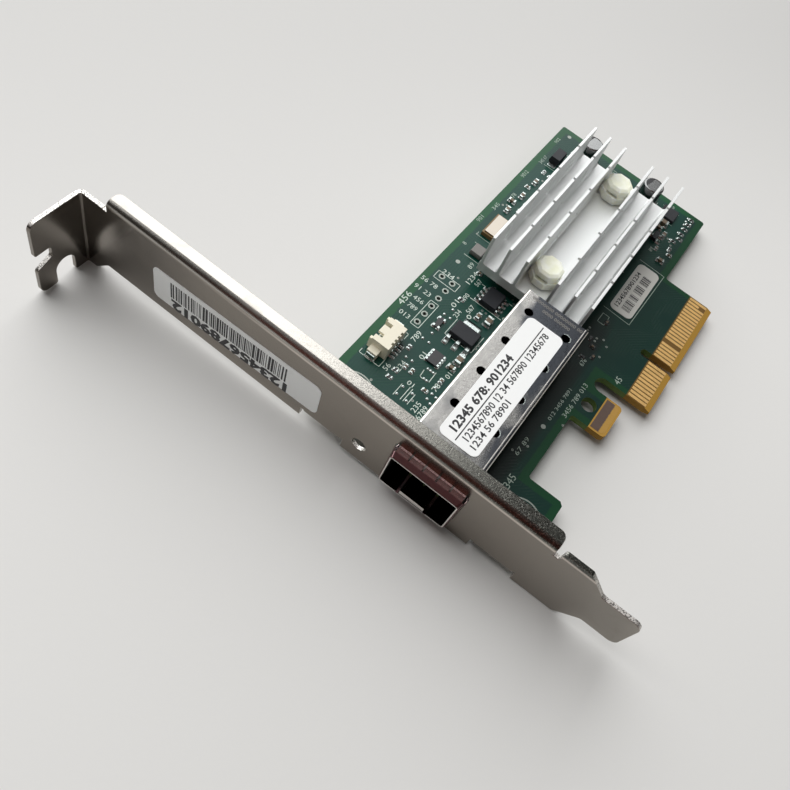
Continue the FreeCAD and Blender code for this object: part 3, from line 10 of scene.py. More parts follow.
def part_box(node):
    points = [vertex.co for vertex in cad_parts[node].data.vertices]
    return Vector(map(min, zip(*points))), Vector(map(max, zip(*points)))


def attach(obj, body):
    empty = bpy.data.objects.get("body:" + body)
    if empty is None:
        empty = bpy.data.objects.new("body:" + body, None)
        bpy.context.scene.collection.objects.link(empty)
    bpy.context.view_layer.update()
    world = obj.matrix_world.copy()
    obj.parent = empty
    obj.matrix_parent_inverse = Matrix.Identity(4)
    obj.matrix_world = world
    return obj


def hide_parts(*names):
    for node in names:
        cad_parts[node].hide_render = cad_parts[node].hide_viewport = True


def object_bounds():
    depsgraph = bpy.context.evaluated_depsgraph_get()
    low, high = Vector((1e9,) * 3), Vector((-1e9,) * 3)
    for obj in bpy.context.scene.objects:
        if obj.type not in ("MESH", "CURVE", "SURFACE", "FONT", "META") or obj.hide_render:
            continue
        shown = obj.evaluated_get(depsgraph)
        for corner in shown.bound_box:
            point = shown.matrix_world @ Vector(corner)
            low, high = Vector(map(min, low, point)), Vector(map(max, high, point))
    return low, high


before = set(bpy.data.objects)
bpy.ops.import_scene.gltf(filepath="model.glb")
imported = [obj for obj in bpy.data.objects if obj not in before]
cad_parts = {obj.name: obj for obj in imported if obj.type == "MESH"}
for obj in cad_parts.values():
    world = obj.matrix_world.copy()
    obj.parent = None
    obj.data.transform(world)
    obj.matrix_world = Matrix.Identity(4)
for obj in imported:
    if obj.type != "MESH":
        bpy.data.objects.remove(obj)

bl_info = {
    "name": "Network interface card finish",
    "version": (1, 0, 0),
    "blender": (4, 5, 0),
    "location": "View3D > Sidebar > Card",
    "description": "Finishes, printed legend, solder work and stage for the card",
    "category": "Object",
}

CAD_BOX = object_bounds()
MM = 0.001
BODY = "root"
WELD = 0.001 * MM
FINISHES = {}


def linear(red, green, blue):
    """A colour named by its 0-255 display values, as the renderer's linear values."""
    values = []
    for part in (red, green, blue):
        share = part / 255
        values.append(share / 12.92 if share <= 0.04045 else ((share + 0.055) / 1.055) ** 2.4)
    return (*values, 1.0)


# The board's outline where the nodes' boxes don't give it, in millimetres.
MAIN_ABOVE_CONTACTS = 6.85
LEG_SIDE, LEG_FOOT = -42.1, 4.5
TONGUE_MARGIN, TAB_MARGIN = 0.65, 0.45
OVERRUN = 6.0

# Tones that no setting changes.
# Painted shade: near black for the cage's shadow on the board.
CAGE_SHADOW_BLACK = (0.008, 0.009, 0.009, 1.0)
LAMINATE_SHADE = linear(84, 58, 26)
WALL_GREEN, WALL_BROWN = linear(98, 120, 62), linear(150, 112, 44)
# Painted reflections on the bracket: a lit and a shaded plate.
PLATE_LIT, PLATE_SHADED = (0.50, 0.49, 0.46, 1.0), (0.05, 0.045, 0.04, 1.0)
# Painted highlight along the bracket's fold, and a real smudge.
FOLD_SHINE, SMUDGE = (0.86, 0.78, 0.70, 1.0), (0.27, 0.24, 0.21, 1.0)
# Dark speckles of the flange's grain, laid where a painted dark reflection darkens it.
GRAIN_AND_SHADE_SPOT = (0.10, 0.10, 0.095, 1.0)
GRAIN_DARK, GRAIN_LIGHT = (0.045, 0.05, 0.042, 1.0), (0.30, 0.30, 0.27, 1.0)
# Painted glints of the bracket's cut edges, light and dark.
CUT_SHINE, CUT_DARK = (0.92, 0.90, 0.86, 1.0), (0.14, 0.14, 0.13, 1.0)
# The cage's dark mottling, and a painted highlight for its folds and front edges.
CAGE_CLOUD, CAGE_SHINE = (0.045, 0.052, 0.065, 1.0), (0.86, 0.83, 0.78, 1.0)
# Painted shade: near black inside the cage.
CAGE_INSIDE_SHADE = (0.004, 0.004, 0.004, 1.0)
GOLD_WIPE = (0.62, 0.50, 0.36, 1.0)
# Painted maroon reflections on the cage's springs: dark on the collar's strip, lighter on the
# fingers.
SPRING_STRIP_REFLECTION, SPRING_FINGER_REFLECTION = (0.20, 0.115, 0.12, 1.0), (0.66, 0.52, 0.52, 1.0)
# Painted shade: dark tin for the cage's shadow.
TIN_IN_SHADE = (0.03, 0.032, 0.03, 1.0)
COPPER = (0.15, 0.105, 0.085, 1.0)


# ---------------------------------------------------------------- settings

def colour(label, description, default):
    return bpy.props.FloatVectorProperty(name=label, description=description, subtype="COLOR",
                                         size=4, min=0, max=1, default=default)


def amount(label, description, default, **more):
    return bpy.props.FloatProperty(name=label, description=description, default=default, **more)


def length(label, description, millimetres):
    return amount(label, description, millimetres * MM, subtype="DISTANCE", unit="LENGTH")


class BoardSettings(bpy.types.PropertyGroup):
    """Colours and sizes of the printed board."""
    mask: colour("Mask over copper", "Solder mask where copper lies under it",
                 linear(12, 61, 52))
    rim: colour("Mask on bare laminate", "Solder mask along the border, with no copper under it",
                linear(20, 80, 47))
    laminate: colour("Bare laminate", "Glass laminate at the card edge, with no mask",
                     linear(182, 140, 62))
    rim_width: length("Border width", "Width of the border without copper", 1.5)
    track_pitch: length("Track pitch", "Distance from one track to the next", 0.62)
    via_radius: length("Via radius", "Outer radius of a via's land", 0.26)
    via_hole: length("Via hole radius", "Radius of the filled hole of a via", 0.12)


class LegendSettings(bpy.types.PropertyGroup):
    """The white printed legend."""
    ink: colour("Legend ink", "Colour of the printed legend", linear(208, 220, 210))
    line: length("Legend line", "Width of the legend's outlines", 0.14)


class MetalSettings(bpy.types.PropertyGroup):
    """Colours of the metal parts."""
    bracket: colour("Bracket", "Nickel plate of the slot bracket", (0.29, 0.26, 0.225, 1))
    cage: colour("Cage", "Tinned sheet of the transceiver cage", (0.36, 0.355, 0.34, 1))
    sink: colour("Heat sink", "Clear finished aluminium of the heat sink",
                 (0.81, 0.825, 0.82, 1))
    contact: colour("Contacts", "Gold of the edge contacts", (0.88, 0.57, 0.22, 1))
    solder: colour("Solder", "Tin of leads, joints and lands", (0.50, 0.555, 0.54, 1))


class SolderSettings(bpy.types.PropertyGroup):
    """Shape of the solder joints."""
    reach: length("Joint reach", "How far a joint's foot reaches past the metal that it holds",
                  0.24)
    rise: amount("Joint rise", "Share of the metal's height that a joint climbs", 0.6,
                 subtype="FACTOR", min=0, max=1)


class StageSettings(bpy.types.PropertyGroup):
    """Floor, lamp, room light and lens."""
    floor: colour("Floor", "Colour of the plain floor", (0.775, 0.768, 0.75, 1))
    key_power: amount("Key power", "Power of the wide soft lamp", 240.0,
                      subtype="POWER", unit="POWER")
    key_near: length("Key near side",
                     "Where the lamp begins along Y, from the middle of the card", 100.0)
    key_far: length("Key far side",
                    "Where the lamp ends along Y, from the middle of the card", 6000.0)
    key_height: length("Key height", "Height of the wide soft lamp", 4800.0)
    key_slope: amount("Key slope", "Height angle of the lamp's middle over the floor",
                      math.radians(60), subtype="ANGLE", unit="ROTATION")
    key_distance: length("Key distance", "Distance of the wide soft lamp from the card", 2000.0)
    room: amount("Room light", "Strength of the even light of the room", 0.13, min=0)
    lens: amount("Lens", "Focal length on a sensor 36 mm wide", 37.63,
                 subtype="DISTANCE_CAMERA", unit="CAMERA")


class CardSettings(bpy.types.PropertyGroup):
    """All settings of the card."""
    board: bpy.props.PointerProperty(type=BoardSettings)
    legend: bpy.props.PointerProperty(type=LegendSettings)
    metal: bpy.props.PointerProperty(type=MetalSettings)
    solder: bpy.props.PointerProperty(type=SolderSettings)
    stage: bpy.props.PointerProperty(type=StageSettings)


# ---------------------------------------------------------------- shader tools

def maths(operation, swapped=False):
    """A method of Socket that adds one Math node."""
    def method(socket, *others):
        values = (*others, socket) if swapped else (socket, *others)
        return socket.finish.output("ShaderNodeMath", {"operation": operation},
                                    dict(enumerate(values)))
    return method


class Socket:
    """One output of a shader node. Arithmetic on it adds Math nodes."""

    def __init__(self, finish, output):
        self.finish = finish
        self.output = output

    __add__ = __radd__ = maths("ADD")
    __mul__ = __rmul__ = maths("MULTIPLY")
    __sub__, __rsub__ = maths("SUBTRACT"), maths("SUBTRACT", swapped=True)
    __truediv__, __rtruediv__ = maths("DIVIDE"), maths("DIVIDE", swapped=True)
    size, fraction = maths("ABSOLUTE"), maths("FRACT")
    most, least = maths("MAXIMUM"), maths("MINIMUM")
    above, below = maths("GREATER_THAN"), maths("LESS_THAN")

    def ramp(self, low, high):
        """0 below low, 1 above high, smooth between; high may be the smaller."""
        return self.finish.output("ShaderNodeMapRange", {"interpolation_type": "SMOOTHSTEP"},
                                  {"Value": self, "From Min": low, "From Max": high})


def add_node(tree, kind, settings=None, sockets=None):
    """Adds a node: its settings first, then the values or links of its sockets."""
    node = tree.nodes.new(kind)
    for name, value in (settings or {}).items():
        setattr(node, name, value)
    for name, value in (sockets or {}).items():
        if isinstance(value, Socket):
            value = value.output
        if isinstance(value, bpy.types.NodeSocket):
            tree.links.new(value, node.inputs[name])
        else:
            node.inputs[name].default_value = value
    return node


class Finish:
    """One material, built node by node on Object coordinates in millimetres."""

    def __init__(self, name):
        self.material = bpy.data.materials.new(name)
        self.material.use_nodes = True
        self.tree = self.material.node_tree
        self.tree.nodes.clear()
        self.place = self.vector("SCALE", self.output("ShaderNodeTexCoord", which="Object"),
                                 Scale=1 / MM)

    def output(self, kind, settings=None, sockets=None, which=0):
        """One output, the first or the named one, of a new node."""
        return Socket(self, add_node(self.tree, kind, settings, sockets).outputs[which])

    def vector(self, operation, *values, **sockets):
        return self.output("ShaderNodeVectorMath", {"operation": operation},
                           {**dict(enumerate(values)), **sockets})

    def axes(self, source=None):
        node = add_node(self.tree, "ShaderNodeSeparateXYZ", None, {0: source or self.place})
        return [Socket(self, output) for output in node.outputs]

    def normal(self):
        return self.axes(self.output("ShaderNodeNewGeometry", which="True Normal"))

    def stretched(self, x, y, z):
        return self.vector("MULTIPLY", self.place, (x, y, z))

    def noise(self, scale, detail=2.0, roughness=0.5, place=None, distortion=0.0):
        return self.output("ShaderNodeTexNoise", {"noise_dimensions": "3D"},
                           {"Vector": place or self.place, "Scale": scale, "Detail": detail,
                            "Roughness": roughness, "Distortion": distortion})

    def cells(self, scale):
        """One even value from 0 to 1 in each cell."""
        return self.axes(self.output("ShaderNodeTexVoronoi", {"feature": "F1"},
                                     {"Vector": self.place, "Scale": scale}, "Color"))[0]

    def mix(self, factor, first, second):
        return self.output("ShaderNodeMix", {"data_type": "RGBA"},
                           {0: factor, 6: first, 7: second}, 2)

    def coated(self, tone, *coats):
        """The tone under coats, each a share and a colour."""
        for share, other in coats:
            tone = self.mix(share, tone, other)
        return tone

    def tint(self, tone, amount, swing):
        """The tone made darker and lighter by swing as amount goes from 0 to 1."""
        if not isinstance(tone, Socket):
            tone = tuple(tone)[:3]
        return self.vector("SCALE", tone, Scale=amount * (2 * swing) + (1 - swing))

    def surface(self, tone, metallic, roughness, height=None, relief=0.0, **more):
        """Ends the material. Height from 0 to 1 is a bump of relief millimetres."""
        sockets = {"Base Color": tone, "Metallic": metallic, "Roughness": roughness}
        sockets.update({name.replace("_", " "): value for name, value in more.items()})
        if height is not None:
            sockets["Normal"] = self.output(
                "ShaderNodeBump", None,
                {"Strength": 1.0, "Distance": relief * MM, "Height": height})
        shader = self.output("ShaderNodeBsdfPrincipled", None, sockets)
        add_node(self.tree, "ShaderNodeOutputMaterial", None, {"Surface": shader})
        return self.material


# ---------------------------------------------------------------- finishes

def card_settings():
    return bpy.context.scene.card_settings


def corners(node):
    """Lowest and highest corner of a node, in millimetres."""
    low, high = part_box(node)
    return low / MM, high / MM


def plain_finish(finish, tone, swing, grain, metallic, roughness, spread, relief,
                 broad=0.15):
    """A fine grain over broad soft patches."""
    fine = finish.noise(grain, 4.0, 0.6)
    patches = finish.noise(broad, 3.0, 0.55)
    return finish.surface(finish.tint(tone, fine * 0.4 + patches * 0.6, swing), metallic,
                          (fine * 0.5 + patches * 0.5) * (2 * spread) + (roughness - spread),
                          fine, relief)


def board_finish(finish):
    """Green mask with faint tracks, a lighter border, bare laminate at the contacts and walls, and
    painted shade beside the cage.
    """
    board = card_settings().board
    x, y, _ = finish.axes()
    low, high = corners("circuit_board")
    contacts_low, contacts_high = corners("edge_contacts_component")
    tab_low, tab_high = corners("tab_contacts")
    main_low = contacts_high.y + MAIN_ABOVE_CONTACTS

    def inside(x0, x1, y0, y1):
        """Distance to the border of a rectangle, negative inside it."""
        across = (x - (x0 + x1) / 2).size() - (x1 - x0) / 2
        along = (y - (y0 + y1) / 2).size() - (y1 - y0) / 2
        return across.most(along)

    # The border runs round the main part, the tongue, the bracket's leg and the tab.
    border = inside(low.x, high.x, main_low, high.y)
    for x0, x1, y0 in (
            (contacts_low.x - TONGUE_MARGIN, contacts_high.x + TONGUE_MARGIN, low.y - OVERRUN),
            (low.x, LEG_SIDE, LEG_FOOT),
            (tab_low.x - TAB_MARGIN, tab_high.x + TAB_MARGIN, tab_low.y - TAB_MARGIN)):
        border = border.least(inside(x0, x1, y0, main_low + OVERRUN))
    width = board.rim_width / MM
    ragged = finish.noise(0.9) * 0.5
    rim = (border + ragged).ramp(-width - 0.1, -width + 0.35)

    # Tracks run level, upright or slanted, each in its own cells.
    heading = finish.cells(0.17)
    pitch = board.track_pitch / MM

    def tracks(distance):
        share = (distance / pitch).fraction()
        return share.ramp(0.42, 0.5) - share.ramp(0.82, 0.9)

    level, upright = heading.above(0.62), 1.0 - heading.above(0.34)
    slanted = (1.0 - level) * (1.0 - upright)
    lines = tracks(y) * level + tracks(x) * upright + tracks((x + y) * math.sqrt(0.5)) * slanted
    routed = finish.noise(0.11, place=finish.vector("ADD", finish.place, (31.0, 7.0, 0.0)))
    lines = lines * routed.ramp(0.40, 0.52) * (1.0 - rim)
    weave = finish.noise(5.5)
    mask = finish.tint(board.mask, finish.noise(0.07) * 0.7 + weave * 0.3, 0.12)

    # Painted shade: the strip in the lee of the cage is darkened as by the cage's shadow, darkest
    # near the bracket.
    lee = corners("sfp_cage_cover")[0].y
    shade_strip = y.ramp(lee - 1.0, lee - 5.5) * 0.42
    cast_shadow = y.ramp(lee - 6.5, lee - 2.5) * x.ramp(12.0, -6.0) * y.ramp(lee + 3.0, lee) * 0.8
    mask = finish.coated(mask, (lines * 0.16, board.rim),
                         (rim, finish.tint(board.rim, weave, 0.08)), (shade_strip.most(cast_shadow), CAGE_SHADOW_BLACK))

    # Bare laminate: below the tops of the contacts on the tongue, and round the tab's contact.
    tongue = y.below(contacts_high.y + 0.25) * x.above(contacts_low.x - 1.2)
    tab = y.below(tab_high.y + 0.3) * x.below(tab_high.x + 1.2) * x.above(tab_low.x - 1.2)
    bare = tongue.most(tab)
    between = y.above(contacts_low.y + 0.05) * tongue
    facing = finish.normal()[2]
    wall = 1.0 - facing.size().ramp(0.55, 0.8)
    threads = finish.noise(9.0, place=finish.stretched(1.0, 1.0, 5.0))
    laminate = finish.mix(between * 0.8, finish.tint(board.laminate, threads, 0.14),
                          LAMINATE_SHADE)
    wall_tone = finish.mix(bare, finish.tint(WALL_GREEN, threads, 0.16),
                           finish.tint(WALL_BROWN, threads, 0.16))
    return finish.surface(finish.coated(mask, (bare, laminate), (wall, wall_tone)), 0.0,
                          weave * 0.08 + wall * 0.3 + bare * 0.12 + 0.27,
                          lines * 0.3 + weave * 0.1, 0.025, Specular_IOR_Level=0.22)


def bracket_finish(finish):
    """Satin nickel plate, with a coarser blasted grain on the flange, and painted reflections:
    lighter and darker bands, glints on the cut edges and a highlight along the fold.
    """
    _, y, z = finish.axes()
    _, side, top = finish.normal()
    edge = corners("io_bracket")[1].z
    fine = finish.noise(3.4, 3.0, 0.65)
    brushed = finish.noise(1.0, 3.0, 0.6, finish.stretched(6.0, 0.35, 6.0))
    patches = finish.noise(0.045, 3.0, 0.6)
    smudge = finish.noise(0.22, 4.0, 0.6, distortion=0.6)
    speckle = finish.noise(4.2, 2.0, 0.7)
    flange = z.ramp(edge - 1.2, edge - 0.7)
    # A band of the flange with real grain, where dark speckles also paint a dark reflection.
    worn = flange * y.ramp(66.0, 34.0)
    # Painted glints on the sheet's cut edges, and a painted highlight along the flange's fold.
    cut = (side.size() * y.ramp(97.0, 93.0)).most(
        top.size() * z.ramp(edge - 1.5, edge - 2.0)).ramp(0.6, 0.8)
    rolled = (z - (edge - 1.35)).size().ramp(0.4, 0.1) * y.ramp(82.0, 50.0) * (1.0 - cut)
    # Painted reflections: the flange and the tip of the blade are lighter, the blade near the tab
    # darker.
    tone = finish.coated(
        card_settings().metal.bracket,
        ((flange * 0.68).most(y.ramp(16.0, -14.0) * 0.25), PLATE_LIT),
        (y.ramp(72.0, 90.0) * (1.0 - flange) * 0.4, PLATE_SHADED), (rolled * 0.7, FOLD_SHINE))
    tone = finish.tint(tone, patches * 0.7 + brushed * 0.3, 0.07)
    # Real smudges; then dark speckles and the blasted grain darken the flange towards its lower
    # end: the grain is real, the darkening is a painted dark reflection. Last, the painted glints
    # of the cut edges.
    tone = finish.coated(
        tone, (smudge.ramp(0.52, 0.72) * 0.25, SMUDGE),
        (speckle.ramp(0.48, 0.58) * worn * 0.75, GRAIN_AND_SHADE_SPOT),
        (flange * y.ramp(58.0, 6.0) * 0.9,
         finish.mix(speckle.ramp(0.52, 0.62), GRAIN_DARK, GRAIN_LIGHT)),
        (cut, finish.mix(speckle.ramp(0.5, 0.58), CUT_SHINE, CUT_DARK)))
    rough = patches * 0.08 + brushed * 0.04 + smudge.ramp(0.5, 0.75) * 0.05 + flange * 0.05
    return finish.surface(tone, 1.0, rough + cut * 0.28 + 0.15,
                          fine * (worn * 0.8 + flange * 0.1 + 0.1), 0.035)


def cage_finish(finish):
    """Tinned sheet, mottled from light warm grey to a bluish dark, darkest at its far end."""
    x, y, z = finish.axes()
    ahead, _, facing = finish.normal()
    low, high = corners("sfp_cage_cover")
    nose = corners("sfp_cage_base")[0].x
    middle = (low.y + high.y) / 2
    clouds = finish.noise(0.10, 3.0, 0.5, finish.stretched(0.8, 1.2, 1.0), 0.7)
    cells = finish.cells(2.2)
    grain = finish.noise(7.0, 3.0, 0.7)
    end = x.ramp(high.x - 13.0, high.x - 6.0) * y.ramp(middle + 5.8, middle + 2.8)
    dark = clouds * 0.9 + end * 0.3 + y.ramp(middle + 3.0, middle - 4.0) * 0.16
    tone = finish.mix(dark.ramp(0.44, 0.66) * 0.92,
                      finish.tint(card_settings().metal.cage, cells, 0.08), CAGE_CLOUD)
    # Painted highlights along the cover's folds and on the front edges, and painted black shade
    # inside.
    folds = y.above(high.y - 0.42).most((y - (low.y + 0.12)).size().ramp(0.14, 0.06)).most(
        (y - (low.y + 0.72)).size().ramp(0.12, 0.05))
    front = x.ramp(nose + 1.3, nose + 1.0) * ahead.ramp(-0.3, -0.6)
    tone = finish.coated(finish.tint(tone, grain, 0.14),
                         ((folds * z.above(high.z - 0.9)).most(front) * 0.9, CAGE_SHINE),
                         (facing.ramp(0.5, 0.8) * z.ramp(4.0, 2.0), CAGE_INSIDE_SHADE))
    return finish.surface(tone, 1.0, clouds * 0.14 + grain * 0.10 + 0.16,
                          grain * 0.5 + cells * 0.5, 0.02)


def sink_finish(finish):
    """Extruded aluminium with fine draw lines along the fins."""
    draw = finish.noise(1.0, 3.0, 0.65, finish.stretched(0.16, 7.0, 7.0))
    patches = finish.noise(0.09, 3.0)
    grain = finish.noise(6.0)
    tone = finish.tint(card_settings().metal.sink, patches * 0.6 + draw * 0.4, 0.06)
    return finish.surface(tone, 0.6, draw * 0.12 + patches * 0.10 + 0.40,
                          draw * 0.75 + grain * 0.25, 0.012)


def gold_finish(finish):
    """Gold over nickel, with wipe marks along the contacts."""
    wipes = finish.noise(1.0, 3.0, 0.6, finish.stretched(9.0, 0.5, 3.0))
    patches = finish.noise(0.5, 3.0)
    tone = finish.tint(card_settings().metal.contact, patches * 0.5 + wipes * 0.5, 0.12)
    tone = finish.mix(wipes.ramp(0.62, 0.8) * 0.35, tone, GOLD_WIPE)
    return finish.surface(tone, 0.85, wipes * 0.16 + patches * 0.12 + 0.26, wipes, 0.008)


def legend_finish(finish):
    """Printed ink, clearest beside the cage and thinner over the rest of the board."""
    x, y, _ = finish.axes()
    wear = finish.noise(1.1, 3.0, 0.6)
    thin = x.ramp(-14.0, -4.0).most(y.ramp(33.0, 25.0))
    tone = finish.mix(thin * 0.45 + wear.ramp(0.45, 0.75) * 0.25, card_settings().legend.ink,
                      card_settings().board.rim)
    return finish.surface(tone, 0.0, wear * 0.2 + 0.4, wear, 0.01)


def spring_finish(finish):
    """Spring steel with painted maroon reflections: a dark one along the front strip of the collar
    and a lighter one on its fingers.
    """
    fine = finish.noise(5.0, 4.0, 0.6)
    front = corners("cage_emi_springs")[0].x
    tone = finish.mix(finish.axes()[0].ramp(front + 1.0, front + 1.3), SPRING_STRIP_REFLECTION, SPRING_FINGER_REFLECTION)
    return finish.surface(finish.tint(tone, fine, 0.06), 1.0, fine * 0.1 + 0.17, fine, 0.006)


def tin_finish(finish):
    """Tin of leads and joints, with painted shade darkening it in the lee of the cage."""
    x, y, _ = finish.axes()
    fine = finish.noise(4.0, 4.0, 0.6)
    lee = corners("sfp_cage_cover")[0].y
    # Painted shade: the tin beside the cage is darkened as by the cage's shadow.
    shade_strip = y.ramp(lee + 2.0, lee - 1.0) * x.ramp(14.0, 4.0) * 0.82
    tone = finish.mix(shade_strip, card_settings().metal.solder, TIN_IN_SHADE)
    tone = finish.tint(tone, fine * 0.4 + finish.noise(0.8, 3.0) * 0.6, 0.12)
    return finish.surface(tone, 0.8, fine * 0.16 + 0.14, fine, 0.02)


def tab_finish(finish):
    """The tab's contact: dark bare copper, worn down to laminate towards the tip."""
    low, high = corners("tab_contacts")
    wipes = finish.noise(2.0, 3.0, 0.6)
    tall = high.y - low.y
    worn = (finish.axes()[1] + wipes * 0.5).ramp(low.y + tall * 0.50, low.y + tall * 0.44)
    tone = finish.mix(worn, COPPER, card_settings().board.laminate)
    return finish.surface(finish.tint(tone, wipes, 0.1), (1.0 - worn) * 0.7, wipes * 0.2 + 0.28,
                          wipes, 0.008)


def nylon_finish(finish):
    """Milky nylon, a little see-through at thin places."""
    fine = finish.noise(4.0, 3.0)
    tone = finish.mix(finish.noise(0.5, 3.0).ramp(0.3, 0.7), linear(248, 249, 234),
                      linear(237, 238, 216))
    return finish.surface(tone, 0.0, fine * 0.14 + 0.34, fine, 0.015,
                          Subsurface_Weight=0.8, Subsurface_Radius=(1.0, 0.95, 0.75),
                          Subsurface_Scale=1.6 * MM)


def paper_finish(finish, tone, roughness):
    """Coated label stock with faint fibres."""
    fibres = finish.noise(3.0, 4.0, 0.7)
    tone = finish.tint(tone, fibres * 0.5 + finish.noise(0.12) * 0.5, 0.03)
    return finish.surface(tone, 0.0, fibres * 0.10 + roughness, fibres, 0.008)


def package_finish(finish):
    """Moulded black package: a matt top with fine pits."""
    pits = finish.noise(8.0, 3.0, 0.7)
    tone = finish.tint(linear(31, 34, 39), pits * 0.5 + finish.noise(0.4) * 0.5, 0.16)
    return finish.surface(tone, 0.0, pits * 0.18 + 0.42, pits, 0.02, Specular_IOR_Level=0.35)


def lens_finish(finish):
    """Clear lens with a painted glow: an emission stands in for light from behind filling it."""
    haze = finish.noise(2.0)
    return finish.surface(finish.tint(linear(236, 240, 232), haze, 0.04), 0.0, haze * 0.1 + 0.12,
                          haze, 0.01, Emission_Color=linear(236, 244, 232),
                          Emission_Strength=0.35)


# Each slot: the nodes that take it, the function that makes it and what else that takes.
# A plain finish takes its colour, swing, grain, metallic, roughness, spread, relief and the
# scale of its broad patches.
SLOTS = {
    "board_laminate": (("circuit_board",), board_finish),
    "bracket_steel": (("io_bracket",), bracket_finish),
    "cage_steel": (("sfp_cage_base", "sfp_cage_cover"), cage_finish),
    "sink_aluminium": (("heatsink",), sink_finish),
    "contact_gold": (("edge_contacts_component", "edge_contacts_solder",
                      "host_connector_contacts"), gold_finish),
    "tab_copper": (("tab_contacts",), tab_finish),
    "spring_steel": (("cage_emi_springs", "push_pin_springs"), spring_finish),
    "lead_tin": (("capacitor_leads", "wire_connector_pins", "wire_connector_lugs",
                  "chip_capacitor_ends", "chip_resistor_ends", "underside_capacitor_ends",
                  "regulator_leads", "flash_memory_leads", "small_transistor_leads",
                  "diode_leads", "chip_array_ends"), tin_finish),
    "nylon": (("push_pins",), nylon_finish),
    "lens_clear": (("status_led_lens",), lens_finish),
    "package_black": (("regulator_body", "flash_memory_body", "small_transistor_body",
                       "clock_buffer", "diode_body"), package_finish),
    "label_white": (("cage_label", "bracket_label"), paper_finish, linear(250, 251, 250), 0.45),
    "label_grey": (("board_label",), paper_finish, linear(205, 204, 198), 0.42),
    "legend_ink": ((), legend_finish),
    "print_ink": ((), plain_finish, linear(26, 26, 30),
                  0.10, 5.0, 0.0, 0.45, 0.10, 0.005, 0.60),
    "dull_tin": (("test_points",), plain_finish, (0.27, 0.30, 0.27),
                 0.10, 4.0, 0.6, 0.40, 0.10, 0.020, 0.80),
    "screw_steel": (("bracket_screws",), plain_finish, (0.60, 0.60, 0.58),
                    0.06, 6.0, 1.0, 0.28, 0.06, 0.010),
    "black_plastic": (("host_connector_housing", "capacitor_bases"), plain_finish,
                      linear(26, 26, 27), 0.12, 6.0, 0.0, 0.50, 0.10, 0.015),
    "ivory_plastic": (("wire_connector_housing", "status_led_base"), plain_finish,
                      linear(242, 236, 215), 0.04, 4.0, 0.0, 0.42, 0.08, 0.015, 0.40),
    "substrate_green": (("controller_substrate",), plain_finish, linear(70, 104, 72),
                        0.10, 5.0, 0.0, 0.45, 0.08, 0.012),
    "die_grey": (("controller_die",), plain_finish, linear(96, 98, 104),
                 0.05, 3.0, 0.3, 0.12, 0.04, 0.002),
    "pad_grey": (("thermal_pad",), plain_finish, linear(150, 152, 156),
                 0.05, 3.0, 0.0, 0.70, 0.08, 0.020),
    "can_aluminium": (("capacitor_cans",), plain_finish, (0.22, 0.225, 0.225),
                      0.06, 5.0, 1.0, 0.24, 0.08, 0.006),
    "capacitor_tan": (("chip_capacitor_bodies", "underside_capacitor_bodies"), plain_finish,
                      linear(104, 88, 68), 0.16, 3.0, 0.0, 0.45, 0.10, 0.015, 0.35),
    "resistor_black": (("chip_resistor_bodies", "chip_array_bodies"), plain_finish,
                       linear(34, 33, 36), 0.12, 5.0, 0.0, 0.34, 0.10, 0.010),
    "ceramic_brown": (("oscillator_body",), plain_finish, linear(120, 96, 58),
                      0.10, 4.0, 0.0, 0.50, 0.10, 0.015),
    "lid_metal": (("oscillator_lid",), plain_finish, (0.37, 0.335, 0.29),
                  0.05, 4.0, 1.0, 0.30, 0.06, 0.006, 0.60),
    "inductor_grey": (("power_inductor",), plain_finish, linear(112, 110, 106),
                      0.10, 6.0, 0.0, 0.55, 0.10, 0.030),
}


# ---------------------------------------------------------------- mesh tools

def placed(name, data):
    """A new object in the scene."""
    made = bpy.data.objects.new(name, data)
    bpy.context.scene.collection.objects.link(made)
    return made


def plain_mesh(source):
    """What an object's modifiers or curves come to, as a mesh of its own."""
    bpy.context.view_layer.update()
    graph = bpy.context.evaluated_depsgraph_get()
    return bpy.data.meshes.new_from_object(source.evaluated_get(graph))


def add_piece(name, work, finish, smooth=False):
    """Turns a bmesh or mesh into a finished piece that rides on the card."""
    if isinstance(work, bmesh.types.BMesh):
        mesh = bpy.data.meshes.new(name)
        work.to_mesh(mesh)
        work.free()
    else:
        mesh = work
    mesh.name = name
    for face in mesh.polygons:
        face.use_smooth = smooth
    piece = placed(name, mesh)
    if not mesh.materials:
        mesh.materials.append(FINISHES[finish])
    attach(piece, BODY)
    return piece


def welded(node):
    """A working copy of a node's mesh, joined at its seams."""
    work = bmesh.new()
    work.from_mesh(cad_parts[node].data)
    bmesh.ops.remove_doubles(work, verts=work.verts, dist=WELD)
    return work


def solids_of(node):
    """The lowest and highest corner of each separate solid of a node, in metres."""
    work = welded(node)
    boxes = []
    for seed in work.verts:
        if seed.tag:
            continue
        seed.tag = True
        queue, low, high = [seed], seed.co.copy(), seed.co.copy()
        while queue:
            vertex = queue.pop()
            low = Vector(map(min, low, vertex.co))
            high = Vector(map(max, high, vertex.co))
            for edge in vertex.link_edges:
                other = edge.other_vert(vertex)
                if not other.tag:
                    other.tag = True
                    queue.append(other)
        boxes.append((low, high))
    work.free()
    return boxes


